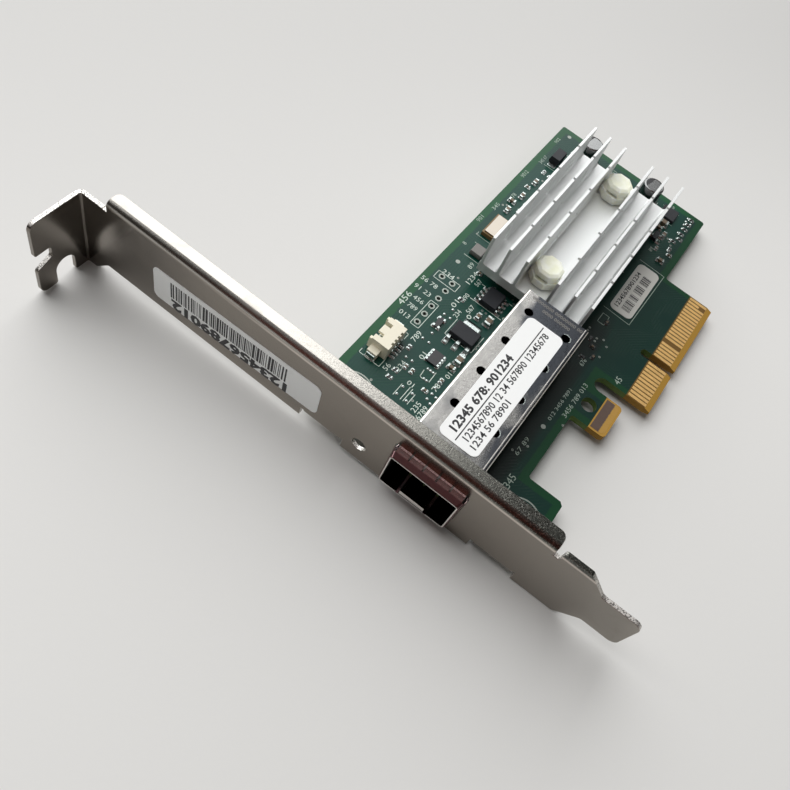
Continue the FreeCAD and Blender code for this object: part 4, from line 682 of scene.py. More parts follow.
def softened(node, name, width, finish, steps, flat=0.4, sharp=30.0):
    """A copy of a node with its sharp edges rounded, standing for the node. Faces that meet
    within flat degrees are joined first, and edges over sharp degrees are rounded."""
    work = welded(node)
    bmesh.ops.dissolve_limit(work, angle_limit=math.radians(flat), verts=work.verts,
                             edges=work.edges)
    rounded = [edge for edge in work.edges
               if len(edge.link_faces) == 2 and edge.calc_face_angle(0.0) > math.radians(sharp)]
    bmesh.ops.bevel(work, geom=rounded, offset=width * MM, offset_type="OFFSET", segments=steps,
                    profile=0.5, affect="EDGES", clamp_overlap=True)
    bmesh.ops.triangulate(work, faces=[face for face in work.faces if len(face.verts) > 4])
    piece = add_piece(name, work, finish)
    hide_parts(node)
    return piece


def turned(work, centre, profile, steps):
    """A closed turned shape: profile runs from the lowest centre point up to the highest."""
    turns = [2 * math.pi * k / steps for k in range(steps)]
    rings = [[work.verts.new((centre.x + radius * math.cos(turn),
                              centre.y + radius * math.sin(turn), height)) for turn in turns]
             for radius, height in profile]
    work.faces.new(list(reversed(rings[0])))
    band_up(work, rings)
    work.faces.new(rings[-1])


def band_up(work, rings):
    """Faces from each closed ring of vertices up to the next."""
    for below, above in zip(rings, rings[1:]):
        for k, start in enumerate(below):
            j = (k + 1) % len(below)
            work.faces.new((start, below[j], above[j], above[k]))


class FlatArt:
    """Ink on one plane. Shapes are given in millimetres on it and end up in one mesh."""

    def __init__(self, origin, right=(1, 0, 0), up=(0, 1, 0), lift=0.012):
        right, up = Vector(right).normalized(), Vector(up).normalized()
        out = right.cross(up)
        turn = Matrix((right, up, out)).transposed().to_4x4()
        place = Matrix.Translation(Vector(origin) + out * (lift * MM))
        self.matrix = place @ turn @ Matrix.Scale(MM, 4)
        self.work = bmesh.new()

    def shape(self, points):
        self.work.faces.new([self.work.verts.new(self.matrix @ Vector((x, y, 0)))
                             for x, y in points])

    def bar(self, x0, y0, x1, y1):
        self.shape(((x0, y0), (x1, y0), (x1, y1), (x0, y1)))

    def line(self, points, width):
        for (x0, y0), (x1, y1) in zip(points, points[1:]):
            span = math.hypot(x1 - x0, y1 - y0)
            u, v = (x1 - x0) / span * width / 2, (y1 - y0) / span * width / 2
            self.shape(((x0 - u + v, y0 - v - u), (x1 + u + v, y1 + v - u),
                        (x1 + u - v, y1 + v + u), (x0 - u - v, y0 - v + u)))

    def arc(self, x, y, outer, inner, turns):
        """A flat band round x, y through the given angles, in degrees."""
        spots = [(math.cos(math.radians(turn)), math.sin(math.radians(turn))) for turn in turns]
        for (a, b), (c, d) in zip(spots, spots[1:]):
            self.shape(((x + a * inner, y + b * inner), (x + a * outer, y + b * outer),
                        (x + c * outer, y + d * outer), (x + c * inner, y + d * inner)))

    def ring(self, x, y, outer, inner, steps=16):
        self.arc(x, y, outer, inner, [360 * k / steps for k in range(steps + 1)])

    def number(self, digits, x, y, height, wide, turn=0.0, weight=0.0):
        """Plain digits whose first baseline point is x, y."""
        curve = bpy.data.curves.new("digits", "FONT")
        curve.body = digits
        curve.resolution_u = 2
        curve.offset = weight
        source = placed("digits", curve)
        mesh = plain_mesh(source)
        spots = [vertex.co for vertex in mesh.vertices]
        left, right = min(c.x for c in spots), max(c.x for c in spots)
        foot, head = min(c.y for c in spots), max(c.y for c in spots)
        size = Matrix.Diagonal((wide / (right - left), height / (head - foot), 1, 1))
        mesh.transform(self.matrix @ Matrix.Translation((x, y, 0))
                       @ Matrix.Rotation(math.radians(turn), 4, "Z") @ size
                       @ Matrix.Translation((-left, -foot, 0)))
        self.work.from_mesh(mesh)
        bpy.data.objects.remove(source)
        bpy.data.curves.remove(curve)
        bpy.data.meshes.remove(mesh)

    def piece(self, name, finish, slot):
        return add_piece(name, self.work, finish)


# ---------------------------------------------------------------- node trees
# Each grow function takes its sizes, then the piece's name, points, finish and a slot, which is
# not used.

class GeometryTree:
    """A Geometry Nodes tree that puts a shape, made of the given values, on every point."""

    KINDS = {float: "NodeSocketFloat", int: "NodeSocketInt"}

    def __init__(self, name, **values):
        self.tree = bpy.data.node_groups.new(name, "GeometryNodeTree")
        face = self.tree.interface
        face.new_socket("Geometry", in_out="INPUT", socket_type="NodeSocketGeometry")
        kinds = {label: self.KINDS[type(value)] for label, value in values.items()}
        kinds["Material"] = "NodeSocketMaterial"
        self.names = {label: face.new_socket(label, in_out="INPUT", socket_type=kind).identifier
                      for label, kind in kinds.items()}
        face.new_socket("Geometry", in_out="OUTPUT", socket_type="NodeSocketGeometry")
        self.entry = self.tree.nodes.new("NodeGroupInput")
        self.values = values

    def node(self, kind, settings=None, **sockets):
        """Adds a node, whose sockets are named with _ for a space. A text is one of the tree's
        inputs."""
        links = {name.replace("_", " "): self.entry.outputs[value] if isinstance(value, str)
                 else value for name, value in sockets.items()}
        return add_node(self.tree, kind, settings, links).outputs[0]

    def grow(self, shape, name, points, finish, slot, scale=(1, 1, 1), smooth=False):
        """Ends the tree with the shape on every point, runs it on loose points and keeps the
        result as a plain mesh."""
        stamped = self.node("GeometryNodeInstanceOnPoints", Points="Geometry", Instance=shape,
                            Scale=scale)
        real = self.node("GeometryNodeRealizeInstances", Geometry=stamped)
        done = self.node("GeometryNodeSetMaterial", Geometry=real, Material="Material")
        self.tree.links.new(done, self.tree.nodes.new("NodeGroupOutput").inputs[0])
        seeds = bpy.data.meshes.new(name)
        seeds.from_pydata([tuple(point) for point in points], [], [])
        source = placed(name + "_seeds", seeds)
        modifier = source.modifiers.new("grow", "NODES")
        modifier.node_group = self.tree
        for label, value in (*self.values.items(), ("Material", FINISHES[finish])):
            modifier[self.names[label]] = value
        mesh = plain_mesh(source)
        bpy.data.objects.remove(source)
        return add_piece(name, mesh, finish, smooth)


def grow_discs(radius, thickness, sides, *piece):
    """A thin disc on each point."""
    tree = GeometryTree("stamped_discs", Radius=radius, Thickness=thickness, Sides=sides)
    disc = tree.node("GeometryNodeMeshCylinder", {"fill_type": "NGON"}, Vertices="Sides",
                     Radius="Radius", Depth="Thickness")
    tree.grow(disc, *piece)


def grow_beads(radius, height, *piece):
    """A low round bead of solder on each point."""
    tree = GeometryTree("solder_beads", Radius=radius, Rise=height)
    ball = tree.node("GeometryNodeMeshUVSphere", Segments=10, Rings=6, Radius="Radius")
    share = add_node(tree.tree, "ShaderNodeMath", {"operation": "DIVIDE"},
                     {0: tree.entry.outputs["Rise"], 1: tree.entry.outputs["Radius"]})
    flat = tree.node("ShaderNodeCombineXYZ", X=1.0, Y=1.0, Z=share.outputs[0])
    tree.grow(ball, *piece, scale=flat, smooth=True)


def grow_rings(radius, width, thickness, sides, *piece):
    """A flat ring on each point, its middle line at radius."""
    tree = GeometryTree("stamped_rings", Radius=radius, Width=width, Thickness=thickness,
                        Sides=sides)
    path = tree.node("GeometryNodeCurvePrimitiveCircle", Resolution="Sides", Radius="Radius")
    section = tree.node("GeometryNodeCurvePrimitiveQuadrilateral", Width="Width",
                        Height="Thickness")
    ring = tree.node("GeometryNodeCurveToMesh", Curve=path, Profile_Curve=section)
    tree.grow(ring, *piece)


def grow_springs(radius, wire, height, turns, *piece):
    """An open coil of round wire standing on each point."""
    tree = GeometryTree("coil_springs", Radius=radius, Wire=wire, Height=height, Turns=turns)
    path = tree.node("GeometryNodeCurveSpiral", Resolution=28, Rotations="Turns",
                     Start_Radius="Radius", End_Radius="Radius", Height="Height")
    section = tree.node("GeometryNodeCurvePrimitiveCircle", Resolution=10, Radius="Wire")
    coil = tree.node("GeometryNodeCurveToMesh", Curve=path, Profile_Curve=section,
                     Fill_Caps=True)
    return tree.grow(coil, *piece, smooth=True)


# ---------------------------------------------------------------- operators

def board_top():
    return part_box("circuit_board")[1].z


class CARD_OT_finishes(bpy.types.Operator):
    """Makes every finish and gives each node of the frame its own"""
    bl_idname = "card.finishes"
    bl_label = "Finishes"

    def execute(self, context):
        for slot, (nodes, build, *values) in SLOTS.items():
            FINISHES[slot] = build(Finish(slot), *values)
            for name in nodes:
                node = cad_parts[name]
                if not node.material_slots:
                    node.data.materials.append(FINISHES[slot])
                for place in node.material_slots:
                    place.material = FINISHES[slot]
        return {"FINISHED"}


class CARD_OT_soft_edges(bpy.types.Operator):
    """Rounds the sharp edges of the bracket, heat sink, pins and plastic parts"""
    bl_idname = "card.soft_edges"
    bl_label = "Softened parts"

    # Node, piece, rounding in millimetres, finish and steps across the rounding.
    SOFTENED = (("io_bracket", "slot_bracket", 0.07, "bracket_steel", 1),
                ("heatsink", "finned_sink", 0.05, "sink_aluminium", 1),
                ("push_pins", "pin_mouldings", 0.16, "nylon", 2),
                ("wire_connector_housing", "wire_port_housing", 0.09, "ivory_plastic", 2),
                ("bracket_screws", "ear_screws", 0.12, "screw_steel", 2),
                ("regulator_body", "regulator_package", 0.08, "package_black", 1),
                ("flash_memory_body", "memory_package", 0.06, "package_black", 1),
                ("power_inductor", "inductor_block", 0.1, "inductor_grey", 2),
                ("chip_capacitor_bodies", "capacitor_blocks", 0.04, "capacitor_tan", 1))

    def execute(self, context):
        for row in self.SOFTENED:
            softened(*row)
        return {"FINISHED"}


class CARD_OT_cans(bpy.types.Operator):
    """Turns the two aluminium capacitor cans, with a bead, a rolled top and a polarity mark"""
    bl_idname = "card.cans"
    bl_label = "Capacitor cans"

    # Share of the radius, and height in millimetres over the foot or from the top.
    FROM_FOOT = ((0.90, 0.0), (0.985, 0.12), (0.985, 0.75), (0.93, 0.95), (0.93, 1.15),
                 (1.0, 1.4))
    FROM_TOP = ((1.0, -0.42), (0.97, -0.16), (0.90, -0.03), (0.84, 0.0), (0.80, -0.07),
                (0.3, -0.07))
    STEPS = 44
    SHARP = math.radians(35)
    MARK_SHARE = 0.79
    MARK_TURNS = range(20, 141, 10)

    def execute(self, context):
        work = bmesh.new()
        boxes = solids_of("capacitor_cans")
        marks = FlatArt((0, 0, boxes[0][1].z + self.FROM_TOP[-1][1] * MM), lift=0.01)
        for low, high in boxes:
            centre = (low + high) / 2
            radius = (high.x - low.x) / 2
            turned(work, centre, [(radius * share, start + rise * MM)
                                  for start, rows in ((low.z, self.FROM_FOOT),
                                                      (high.z, self.FROM_TOP))
                                  for share, rise in rows], self.STEPS)
            face = radius / MM * self.MARK_SHARE
            marks.shape([(centre.x / MM + face * math.cos(math.radians(turn)),
                          centre.y / MM + face * math.sin(math.radians(turn)))
                         for turn in self.MARK_TURNS])
        cans = add_piece("aluminium_cans", work, "can_aluminium", smooth=True)
        cans.data.set_sharp_from_angle(angle=self.SHARP)
        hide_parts("capacitor_cans")
        marks.piece("can_polarity_marks", "print_ink", "black_plastic")
        return {"FINISHED"}


class CARD_OT_springs(bpy.types.Operator):
    """Winds the two coil springs under the push pins"""
    bl_idname = "card.springs"
    bl_label = "Pin springs"

    WIRE = 0.2 * MM
    TURNS = 3.0

    def execute(self, context):
        boxes = solids_of("push_pin_springs")
        feet = [((low.x + high.x) / 2, (low.y + high.y) / 2, low.z + self.WIRE)
                for low, high in boxes]
        low, high = boxes[-1]
        springs = grow_springs(
            (high.x - low.x) / 2 - self.WIRE, self.WIRE, high.z - low.z - 2 * self.WIRE,
            self.TURNS, "coil_springs", feet, "spring_steel", "spring_steel")
        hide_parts("push_pin_springs")
        return {"FINISHED"}


class CARD_OT_legend(bpy.types.Operator):
    """Prints the white legend: outlines, pin marks and plain numbers"""
    bl_idname = "card.legend"
    bl_label = "Legend"

    # Outlines as runs of x, y in millimetres on the board.
    LINES = (
        ((-17.1, 45.9), (-14.9, 45.9), (-14.9, 51.4), (-17.1, 51.4), (-17.1, 45.9)),
        ((-30.0, 46.4), (-22.45, 46.4), (-22.45, 48.4), (-30.0, 48.4), (-30.0, 46.4)),
        ((-40.2, 47.0), (-42.6, 47.0), (-42.6, 51.75), (-41.6, 51.75)),
        ((-34.0, 47.0), (-32.5, 47.0), (-32.5, 48.9)),
        ((-22.3, 35.3), (-27.1, 35.3), (-27.1, 41.8), (-22.3, 41.8)),
        ((-45.53, 41.5), (-42.58, 41.5)), ((-45.47, 39.9), (-42.1, 39.9)),
        ((-45.42, 39.3), (-42.1, 39.3)), ((-45.42, 38.3), (-42.78, 38.3)),
        ((-38.9, 38.9), (-38.7, 39.92), (-37.05, 40.1)), ((-38.55, 37.87), (-35.93, 37.98)),
        ((4.18, 19.92), (3.94, 13.3), (22.26, 13.03), (22.4, 19.6)),
        ((-0.4, 17.6), (2.4, 17.6), (2.4, 19.2), (-0.4, 19.2), (-0.4, 17.6)),
        ((-15.9, 42.7), (-15.9, 35.0)), ((-11.1, 42.7), (-11.1, 35.0)),
        ((-0.6, 45.6), (-0.6, 50.9), (0.3, 50.9)), ((36.8, 41.3), (36.8, 47.4), (41.9, 47.4)),
        ((36.8, 30.2), (36.8, 24.2), (41.9, 24.2)),
        ((-7.2, 45.8), (-7.2, 49.9)), ((-2.7, 45.8), (-2.7, 49.9)),
        ((30.0, 50.6), (30.0, 48.0)), ((37.2, 50.6), (37.2, 48.0)),
        ((38.0, 22.8), (37.9, 18.4)), ((42.5, 22.8), (42.5, 18.4)),
    )
    # Dots: centre, outer and inner radius.
    DOTS = ((-20.15, 40.3, 0.52, 0.30), (-15.2, 34.6, 0.36, 0.20))
    # The numbers are printed at this share of the sizes given below.
    SCALE = 0.87
    # Plain numbers: digits, first baseline point, height, length and turn if it has one.
    NUMBERS = (
        ("234", -14.9, 50.8, 1.3, 3.3, -90), ("56 78", -19.5, 53.1, 1.3, 4.5, -90),
        ("91 23", -22.2, 53.0, 1.3, 4.5, -90), ("456", -24.8, 51.5, 1.3, 2.8, -90),
        ("789", -27.1, 51.3, 1.3, 2.5, -90), ("013", -29.7, 51.6, 1.3, 2.8, -90),
        ("456", -27.8, 51.9, 1.6, 4.4), ("789", -33.1, 45.0, 1.35, 3.1),
        ("01", -20.5, 43.7, 1.3, 2.2), ("234", -22.3, 42.0, 1.2, 2.4),
        ("567", -19.5, 40.6, 1.2, 2.6), ("890", -17.6, 43.0, 1.2, 2.4),
        ("1234", -13.2, 44.6, 1.3, 4.2), ("567", -12.4, 43.0, 1.2, 2.2),
        ("89", -9.6, 46.6, 1.2, 1.9), ("01", -35.4, 41.6, 1.2, 1.9),
        ("234", -40.8, 43.4, 1.3, 3.0), ("56", -42.4, 45.3, 1.3, 1.9),
        ("789", -39.5, 35.6, 1.3, 3.2), ("01", -41.9, 41.0, 1.2, 1.6, -90),
        ("235", -46.0, 36.1, 1.3, 2.8), ("6789", -46.7, 34.6, 1.3, 3.8),
        ("012", -35.4, 35.3, 1.2, 2.9), ("345", -46.7, 14.1, 1.7, 3.4),
        ("67 89", -39.8, 16.3, 1.0, 5.4), ("012 3456 7891", -28.8, 15.1, 0.9, 10.6),
        ("3456 789 013", -26.1, 13.0, 1.2, 11.4), ("45", -11.4, 8.0, 1.6, 2.1),
        ("678", -13.0, 16.1, 1.2, 2.2), ("901", 2.8, 52.3, 1.1, 2.4),
        ("345", 8.4, 51.6, 1.1, 2.8), ("678", 14.4, 50.4, 1.1, 2.3),
        ("9012", 22.2, 52.0, 1.1, 3.0), ("345 67", 29.6, 51.2, 1.0, 3.6),
        ("8", -5.0, 51.0, 1.1, 0.7), ("902", 38.6, 51.9, 1.0, 2.4),
        ("35", 43.3, 21.6, 1.0, 1.6, -90), ("67", 30.2, 18.4, 1.0, 1.7),
        ("89", 26.6, 18.6, 1.0, 1.6), ("01", 41.0, 36.3, 1.2, 1.8),
    )

    def execute(self, context):
        width = card_settings().legend.line / MM
        art = FlatArt((0, 0, board_top()))
        for run in self.LINES:
            art.line(run, width)
        for digits, x, y, height, wide, *turn in self.NUMBERS:
            art.number(digits, x, y, height * self.SCALE, wide * self.SCALE, *turn)
        for dot in self.DOTS:
            art.ring(*dot)
        art.piece("board_legend", "legend_ink", "label_white")
        return {"FINISHED"}


class CARD_OT_vias(bpy.types.Operator):
    """Sets the vias, fiducials, solder beads and bare screw lands of the board"""
    bl_idname = "card.vias"
    bl_label = "Vias and lands"

    # Vias: tries, seed, the area that they start in, lengths of a row and steps along it.
    TRIES, SEED = 70, 11
    AREA_X, AREA_Y = (-46, 43.5), (14.4, 51.4)
    ROWS = (1, 1, 2, 3, 4)
    STEPS = ((0.95, 0.0), (0.0, 0.95), (0.7, 0.7), (0.7, -0.7))
    GAP, FIDUCIAL_GAP, EDGE_GAP, LARGEST_PART = 0.5 * MM, 4 * MM, 2 * MM, 60 * MM
    # Ring, hole: thickness, sides. Fiducial: radius, thickness, sides. Bead: radius, height.
    VIA_RING, VIA_HOLE = (0.024 * MM, 12), (0.012 * MM, 10)
    FIDUCIAL, BEAD = (0.5 * MM, 0.05 * MM, 20), (0.36 * MM, 0.2 * MM)
    # Outer and inner radius and sides.
    SCREW_LAND = (4.1, 3.8, 40)
    FIDUCIALS = ((43.2, 50.75), (-10.0, 49.75), (-30.9, 15.6))
    OPEN_VIAS = ((-4.9, 14.5), (-8.3, 14.5), (-3.8, 15.8))
    LANDS = ((43.38, 16.18), (43.42, 14.91), (42.07, 16.16), (42.1, 14.9), (40.77, 16.13),
             (39.18, 15.96), (39.41, 14.94), (37.2, 16.18), (37.14, 15.02), (35.27, 15.56),
             (33.58, 16.74), (33.53, 15.59), (-38.82, 36.26), (-36.31, 39.65), (-36.31, 39.0),
             (-36.31, 38.35), (-38.67, 39.0), (-38.67, 38.35), (-21.14, 43.68), (-23.3, 44.4),
             (-23.3, 42.95), (-28.89, 43.68), (-31.2, 44.4), (-31.2, 42.9), (-37.15, 44.37),
             (-37.05, 42.99), (-42.93, 41.05), (-42.92, 38.8), (-44.99, 38.8), (-45.0, 41.05),
             (-41.88, 36.08), (-42.36, 35.04), (-40.31, 35.96), (-40.49, 34.9))

    def free_places(self):
        """Short rows of vias where no part stands."""
        low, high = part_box("circuit_board")
        boxes = [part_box(name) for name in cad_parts
                 if name not in ("circuit_board", "io_bracket", "heatsink")
                 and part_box(name)[1].z > 0]
        taken = [box for name in ("chip_capacitor_ends", "chip_resistor_ends",
                                  "small_transistor_leads", "test_points", "capacitor_cans",
                                  "push_pins") for box in solids_of(name)]
        taken += [box for box in boxes if (box[1] - box[0]).length < self.LARGEST_PART]
        rng = random.Random(self.SEED)
        places = []
        for _ in range(self.TRIES):
            x, y = rng.uniform(*self.AREA_X), rng.uniform(*self.AREA_Y)
            step = rng.choice(self.STEPS)
            for k in range(rng.choice(self.ROWS)):
                spot = Vector((x + k * step[0], y + k * step[1], 0)) * MM
                if any(a.x - self.GAP < spot.x < b.x + self.GAP
                       and a.y - self.GAP < spot.y < b.y + self.GAP for a, b in taken):
                    continue
                if any((spot.xy - Vector(mark) * MM).length < self.FIDUCIAL_GAP
                       for mark in self.FIDUCIALS):
                    continue
                if low.x < spot.x < high.x and spot.y < high.y - self.EDGE_GAP:
                    places.append(tuple(spot.xy / MM))
        return places

    def execute(self, context):
        board = card_settings().board
        top = board_top()

        def raised(spots):
            return [(x * MM, y * MM, top) for x, y in spots]

        vias = raised(self.free_places() + list(self.OPEN_VIAS))
        band = board.via_radius - board.via_hole
        tin, hole = ("dull_tin", "lead_tin"), ("print_ink", "black_plastic")
        grow_rings(board.via_hole + band / 2, band, *self.VIA_RING, "via_lands", vias, *tin)
        grow_discs(board.via_hole, *self.VIA_HOLE, "via_holes", vias, *hole)
        grow_discs(*self.FIDUCIAL, "fiducials", raised(self.FIDUCIALS), *tin)
        grow_beads(*self.BEAD, "solder_beads", raised(self.LANDS), "lead_tin", "lead_tin")
        lands = FlatArt((0, 0, top), lift=0.02)
        for low, high in solids_of("bracket_screws"):
            middle = (low + high) / 2 / MM
            lands.ring(middle.x, middle.y, *self.SCREW_LAND)
        lands.piece("bare_lands", "dull_tin", "lead_tin")
        return {"FINISHED"}


class CARD_OT_solder(bpy.types.Operator):
    """Builds a hollow-sided solder joint round the foot of every lead and chip end"""
    bl_idname = "card.solder"
    bl_label = "Solder joints"

    HELD = ("chip_capacitor_ends", "chip_resistor_ends", "regulator_leads", "flash_memory_leads",
            "small_transistor_leads", "diode_leads", "capacitor_leads", "wire_connector_pins",
            "wire_connector_lugs", "chip_array_ends")
    LOWEST, TALLEST = 0.05 * MM, 0.8 * MM
    OFF_BOARD, TOE, OVERLAP = 0.004 * MM, 0.03 * MM, 0.02 * MM
    WAIST_REACH, WAIST_RISE = 0.45, 0.35

    def joint(self, work, low, high, reach, rise):
        """Four sloping sides whose slope steepens towards the metal."""
        climb = min(high.z - low.z, self.TALLEST) * rise
        foot = low.z + self.OFF_BOARD
        rings = []
        for out, up in ((reach, 0.0), (reach, self.TOE),
                        (reach * self.WAIST_REACH, climb * self.WAIST_RISE),
                        (-self.OVERLAP, climb)):
            rings.append([work.verts.new((x, y, foot + up)) for x, y in
                          ((low.x - out, low.y - out), (high.x + out, low.y - out),
                           (high.x + out, high.y + out), (low.x - out, high.y + out))])
        band_up(work, rings)

    def execute(self, context):
        solder = card_settings().solder
        work = bmesh.new()
        for node in self.HELD:
            for low, high in solids_of(node):
                if high.z - low.z > self.LOWEST:
                    self.joint(work, low, high, solder.reach, solder.rise)
        add_piece("solder_joints", work, "lead_tin", smooth=True)
        return {"FINISHED"}


class CARD_OT_labels(bpy.types.Operator):
    """Prints plain numbers, rules and bars on the three labels"""
    bl_idname = "card.labels"
    bl_label = "Label print"

    # Numbers: digits, first baseline point, height, length, turn and weight.
    CAGE_NUMBERS = (("12345 678: 901234", 2.0, 5.3, 1.85, 20.3, 0, 0.035),
                    ("1234567890 12 34 567890 12345678", 1.9, 2.7, 1.5, 29.6, 0, 0.016),
                    ("1234 56 78901", 1.4, 0.85, 1.4, 12.4, 0, 0.016))
    CAGE_RULE = (0.6, 4.60, 32.5, 4.82)
    BRACKET_NUMBER = ("123456789012", -12.1, 1.55, 2.95, 26.9, 0, 0.05)
    BOARD_NUMBER = ("12345678901234", 1.3, 3.7, 1.1, 12.4, 0, 0.02)
    # Bars: x from and to, y from and to, seed and the thinnest bar.
    BRACKET_BARS = (-11.6, 15.0, -2.9, 1.3, 5, 0.17)
    BOARD_BARS = ((1.6, 4.9, 1.0, 3.1, 2, 0.12), (5.5, 6.9, 1.0, 3.1, 3, 0.12),
                  (7.8, 10.2, 1.0, 3.1, 4, 0.12), (11.0, 13.6, 1.0, 3.1, 6, 0.12))
    BRACKET_TILT = math.radians(2.0)

    def bars(self, art, x, end, y0, y1, seed, thin):
        """Upright bars and gaps of one to three widths."""
        rng = random.Random(seed)
        while x < end:
            width = thin * rng.choice((1, 1, 2, 3))
            art.bar(x, y0, min(x + width, end), y1)
            x += width + thin * rng.choice((1, 1, 2))

    def execute(self, context):
        low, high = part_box("cage_label")
        cage = FlatArt((low.x, low.y, high.z))
        for row in self.CAGE_NUMBERS:
            cage.number(*row)
        cage.bar(*self.CAGE_RULE)

        low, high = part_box("bracket_label")
        along, over = math.cos(self.BRACKET_TILT), math.sin(self.BRACKET_TILT)
        bracket = FlatArt((low.x, (low.y + high.y) / 2, (low.z + high.z) / 2),
                          (0, along, -over), (0, -over, -along))
        self.bars(bracket, *self.BRACKET_BARS)
        bracket.number(*self.BRACKET_NUMBER)

        low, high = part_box("board_label")
        board = FlatArt((low.x, low.y, high.z))
        board.number(*self.BOARD_NUMBER)
        for row in self.BOARD_BARS:
            self.bars(board, *row)
        for name, art in (("cage", cage), ("bracket", bracket), ("board", board)):
            art.piece(name + "_label_print", "print_ink", "black_plastic")
        return {"FINISHED"}


class CARD_OT_cage_marks(bpy.types.Operator):
    """Stamps numbers along the cage's far end and raises a burr at each vent of one row"""
    bl_idname = "card.cage_marks"
    bl_label = "Cage marks"

    STAMPS = (("00000000 00000000 00", -12.6, -1.5, 0.85, 11.6, 0, 0.03),
              ("0000 000000", -9.6, -2.9, 0.85, 6.4, 0, 0.03))
    VENTS_X, VENTS_Y = (-18.4, -27.35, -36.3, -45.25), 22.35
    BURR_OUTER, BURR_INNER, BURR_TURNS = 1.12, 0.95, range(-115, 46, 10)

    def execute(self, context):
        low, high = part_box("sfp_cage_cover")
        stamp = FlatArt((high.x, low.y, high.z), (0, -1, 0), (1, 0, 0))
        for row in self.STAMPS:
            stamp.number(*row)
        stamp.piece("cage_stamp", "inductor_grey", "black_plastic")
        burrs = FlatArt((0, 0, high.z), lift=0.02)
        for x in self.VENTS_X:
            burrs.arc(x, self.VENTS_Y, self.BURR_OUTER, self.BURR_INNER, self.BURR_TURNS)
        burrs.piece("vent_burrs", "lead_tin", "cage_steel")
        return {"FINISHED"}


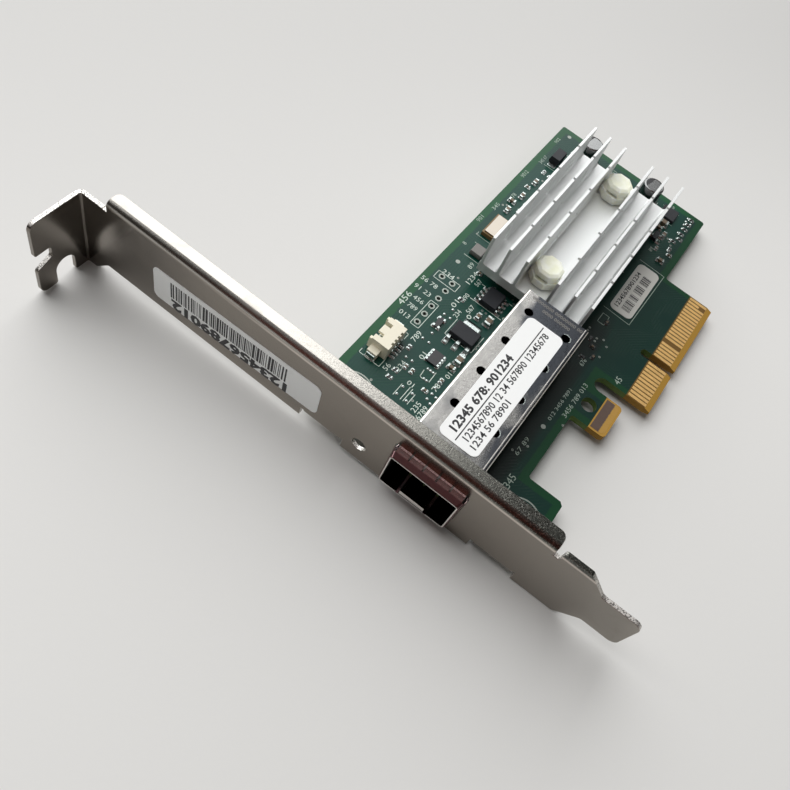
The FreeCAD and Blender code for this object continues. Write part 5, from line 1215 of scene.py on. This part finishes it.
class CARD_OT_stage(bpy.types.Operator):
    """Sets the floor, the soft lamp, the dark screens, the room light and the camera"""
    bl_idname = "card.stage"
    bl_label = "Stage"

    CAMERA_PLACE = (-0.12528, 0.02347, 0.12972)
    CAMERA_RIGHT = (0.56399, -0.79025, 0.23962)
    CAMERA_DOWN = (-0.64095, -0.60188, -0.47636)
    CAMERA_AHEAD = (0.52067, 0.11508, -0.84597)
    SENSOR = 36.0
    CLIP = (0.005, 10.0)
    FLOOR_REACH, FLOOR_GAP = 1.6, 0.03 * MM
    # Corners of the two screens, in metres from the middle of the card.
    SCREENS = {
        "dark_screen": ((-0.30, -0.5, 0.03), (-0.30, 0.42, 0.03), (-0.26, 0.42, 0.55),
                        (-0.26, -0.5, 0.55)),
        "dark_canopy": ((-0.26, -0.5, 0.55), (-0.26, 0.42, 0.55), (0.12, 0.42, 0.6),
                        (0.12, -0.5, 0.6))}
    SCREEN_WARM, SCREEN_DARK = linear(112, 62, 54), linear(40, 40, 36)
    ROOM, BACKDROP = (1.0, 0.985, 0.96, 1.0), (0.72, 0.71, 0.69, 1.0)

    def resting_plane(self):
        """A point and the upward normal of the plane that the card lies on."""
        hull = bmesh.new()
        for name in ("io_bracket", "push_pins", "circuit_board", "edge_contacts_solder"):
            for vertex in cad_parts[name].data.vertices:
                hull.verts.new(vertex.co)
        bmesh.ops.remove_doubles(hull, verts=hull.verts, dist=10 * WELD)
        bmesh.ops.convex_hull(hull, input=hull.verts)
        hull.normal_update()
        middle = (CAD_BOX[0] + CAD_BOX[1]) / 2
        for face in hull.faces:
            spots = [vertex.co for vertex in face.verts]
            if face.normal.z < -0.9 and len(spots) == 3 and \
                    intersect_point_tri_2d(middle.xy, *(spot.xy for spot in spots)):
                found = spots[0].copy(), -face.normal.copy()
                hull.free()
                return found
        raise RuntimeError("no face of the card's hull lies under its middle")

    def sheet(self, name, spots, finish):
        mesh = bpy.data.meshes.new(name)
        mesh.from_pydata([tuple(spot) for spot in spots], [], [(0, 1, 2, 3)])
        mesh.materials.append(finish)
        sheet = placed(name, mesh)
        return sheet

    def floor_finish(self, tone):
        """A plain floor with painted shade: it darkens a little away from the lamp."""
        finish = Finish("floor")
        fine = finish.noise(0.9, 3.0)
        x, y, _ = finish.axes()
        depth = (x + y) * math.sqrt(0.5)
        painted_falloff = depth.ramp(0.0, 130.0) * 0.15 + depth.ramp(0.0, -110.0) * 0.05 \
            + x.ramp(50.0, 180.0) * 0.05
        tone = finish.tint(finish.mix(painted_falloff, tone, (0.0, 0.0, 0.0, 1.0)),
                           finish.noise(0.012) * 0.8 + fine * 0.2, 0.012)
        return finish.surface(tone, 0.0, fine * 0.06 + 0.5, fine, 0.01, Specular_IOR_Level=0.12)

    def screen_finish(self):
        """A dark matt screen, warmer towards the slot end of the card."""
        finish = Finish("screen")
        tone = finish.mix(finish.axes()[1].ramp(110.0, 190.0), self.SCREEN_WARM,
                          self.SCREEN_DARK)
        return finish.surface(finish.tint(tone, finish.noise(0.01), 0.3), 0.0, 0.9,
                              Specular_IOR_Level=0.1)

    def lay_sheets(self, middle):
        """The floor, and the screens that only the metal's reflections show."""
        foot, up = self.resting_plane()
        across = Vector((1, 0, 0)).cross(up).normalized() * self.FLOOR_REACH
        along = up.cross(across)
        foot = foot - up * self.FLOOR_GAP
        self.sheet("floor", [foot - along - across, foot + along - across,
                             foot + along + across, foot - along + across],
                   self.floor_finish(card_settings().stage.floor))
        dark = self.screen_finish()
        for name, spots in self.SCREENS.items():
            screen = self.sheet(name, [middle + Vector(spot) for spot in spots], dark)
            screen.visible_camera = False
            screen.visible_shadow = False
            screen.visible_diffuse = False

    def hang_lamp(self, middle):
        """A wide soft lamp overhead that runs along Y and leans by its slope."""
        stage = card_settings().stage
        light = bpy.data.lights.new("key_lamp", "AREA")
        light.shape = "RECTANGLE"
        light.size = stage.key_far - stage.key_near
        light.size_y = stage.key_height
        light.energy = stage.key_power
        out = Vector((math.cos(stage.key_slope), 0, math.sin(stage.key_slope)))
        along = Vector((0, 1, 0))
        turn = Matrix((along, out.cross(along), out)).transposed()
        place = middle + out * stage.key_distance + along * (stage.key_near + stage.key_far) / 2
        placed("key_lamp", light).matrix_world = Matrix.Translation(place) @ turn.to_4x4()

    def light_room(self, scene):
        """Even light from all round, and a plain backdrop that only the camera sees."""
        scene.world = world = bpy.data.worlds.new("room")
        world.use_nodes = True
        tree = world.node_tree
        background = tree.nodes["Background"]
        background.inputs["Color"].default_value = self.ROOM
        background.inputs["Strength"].default_value = card_settings().stage.room
        backdrop = add_node(tree, "ShaderNodeBackground", None, {"Color": self.BACKDROP})
        rays = add_node(tree, "ShaderNodeLightPath")
        chooser = add_node(tree, "ShaderNodeMixShader", None,
                           {0: rays.outputs["Is Camera Ray"], 1: background.outputs[0],
                            2: backdrop.outputs[0]})
        tree.links.new(chooser.outputs[0], tree.nodes["World Output"].inputs["Surface"])

    def set_camera(self, scene):
        lens = bpy.data.cameras.new("camera")
        lens.sensor_width = self.SENSOR
        lens.lens = card_settings().stage.lens
        lens.clip_start, lens.clip_end = self.CLIP
        turn = Matrix((self.CAMERA_RIGHT, -Vector(self.CAMERA_DOWN),
                       -Vector(self.CAMERA_AHEAD))).transposed()
        scene.camera = placed("camera", lens)
        scene.camera.matrix_world = Matrix.Translation(self.CAMERA_PLACE) @ turn.to_4x4()

    def execute(self, context):
        middle = (CAD_BOX[0] + CAD_BOX[1]) / 2
        self.lay_sheets(middle)
        self.hang_lamp(middle)
        self.light_room(context.scene)
        self.set_camera(context.scene)
        context.scene.view_settings.view_transform = "Standard"
        return {"FINISHED"}


class CARD_PT_panel(bpy.types.Panel):
    """The card's pieces and settings"""
    bl_idname = "CARD_PT_panel"
    bl_label = "Network interface card"
    bl_space_type = "VIEW_3D"
    bl_region_type = "UI"
    bl_category = "Card"

    def draw(self, context):
        for operator in OPERATORS:
            self.layout.operator(operator.bl_idname)
        settings = context.scene.card_settings
        for group in (settings.board, settings.legend, settings.metal, settings.solder,
                      settings.stage):
            box = self.layout.box()
            for name in group.bl_rna.properties.keys():
                if name not in ("rna_type", "name"):
                    box.prop(group, name)


OPERATORS = (CARD_OT_finishes, CARD_OT_soft_edges, CARD_OT_cans, CARD_OT_springs, CARD_OT_legend,
             CARD_OT_vias, CARD_OT_solder, CARD_OT_labels, CARD_OT_cage_marks, CARD_OT_stage)
CLASSES = (BoardSettings, LegendSettings, MetalSettings, SolderSettings, StageSettings,
           CardSettings, *OPERATORS, CARD_PT_panel)


def register():
    for kind in CLASSES:
        bpy.utils.register_class(kind)
    bpy.types.Scene.card_settings = bpy.props.PointerProperty(type=CardSettings)


def unregister():
    del bpy.types.Scene.card_settings
    for kind in reversed(CLASSES):
        bpy.utils.unregister_class(kind)


def main():
    register()
    for operator in OPERATORS:
        family, name = operator.bl_idname.split(".")
        getattr(getattr(bpy.ops, family), name)()


if __name__ == "__main__":
    main()
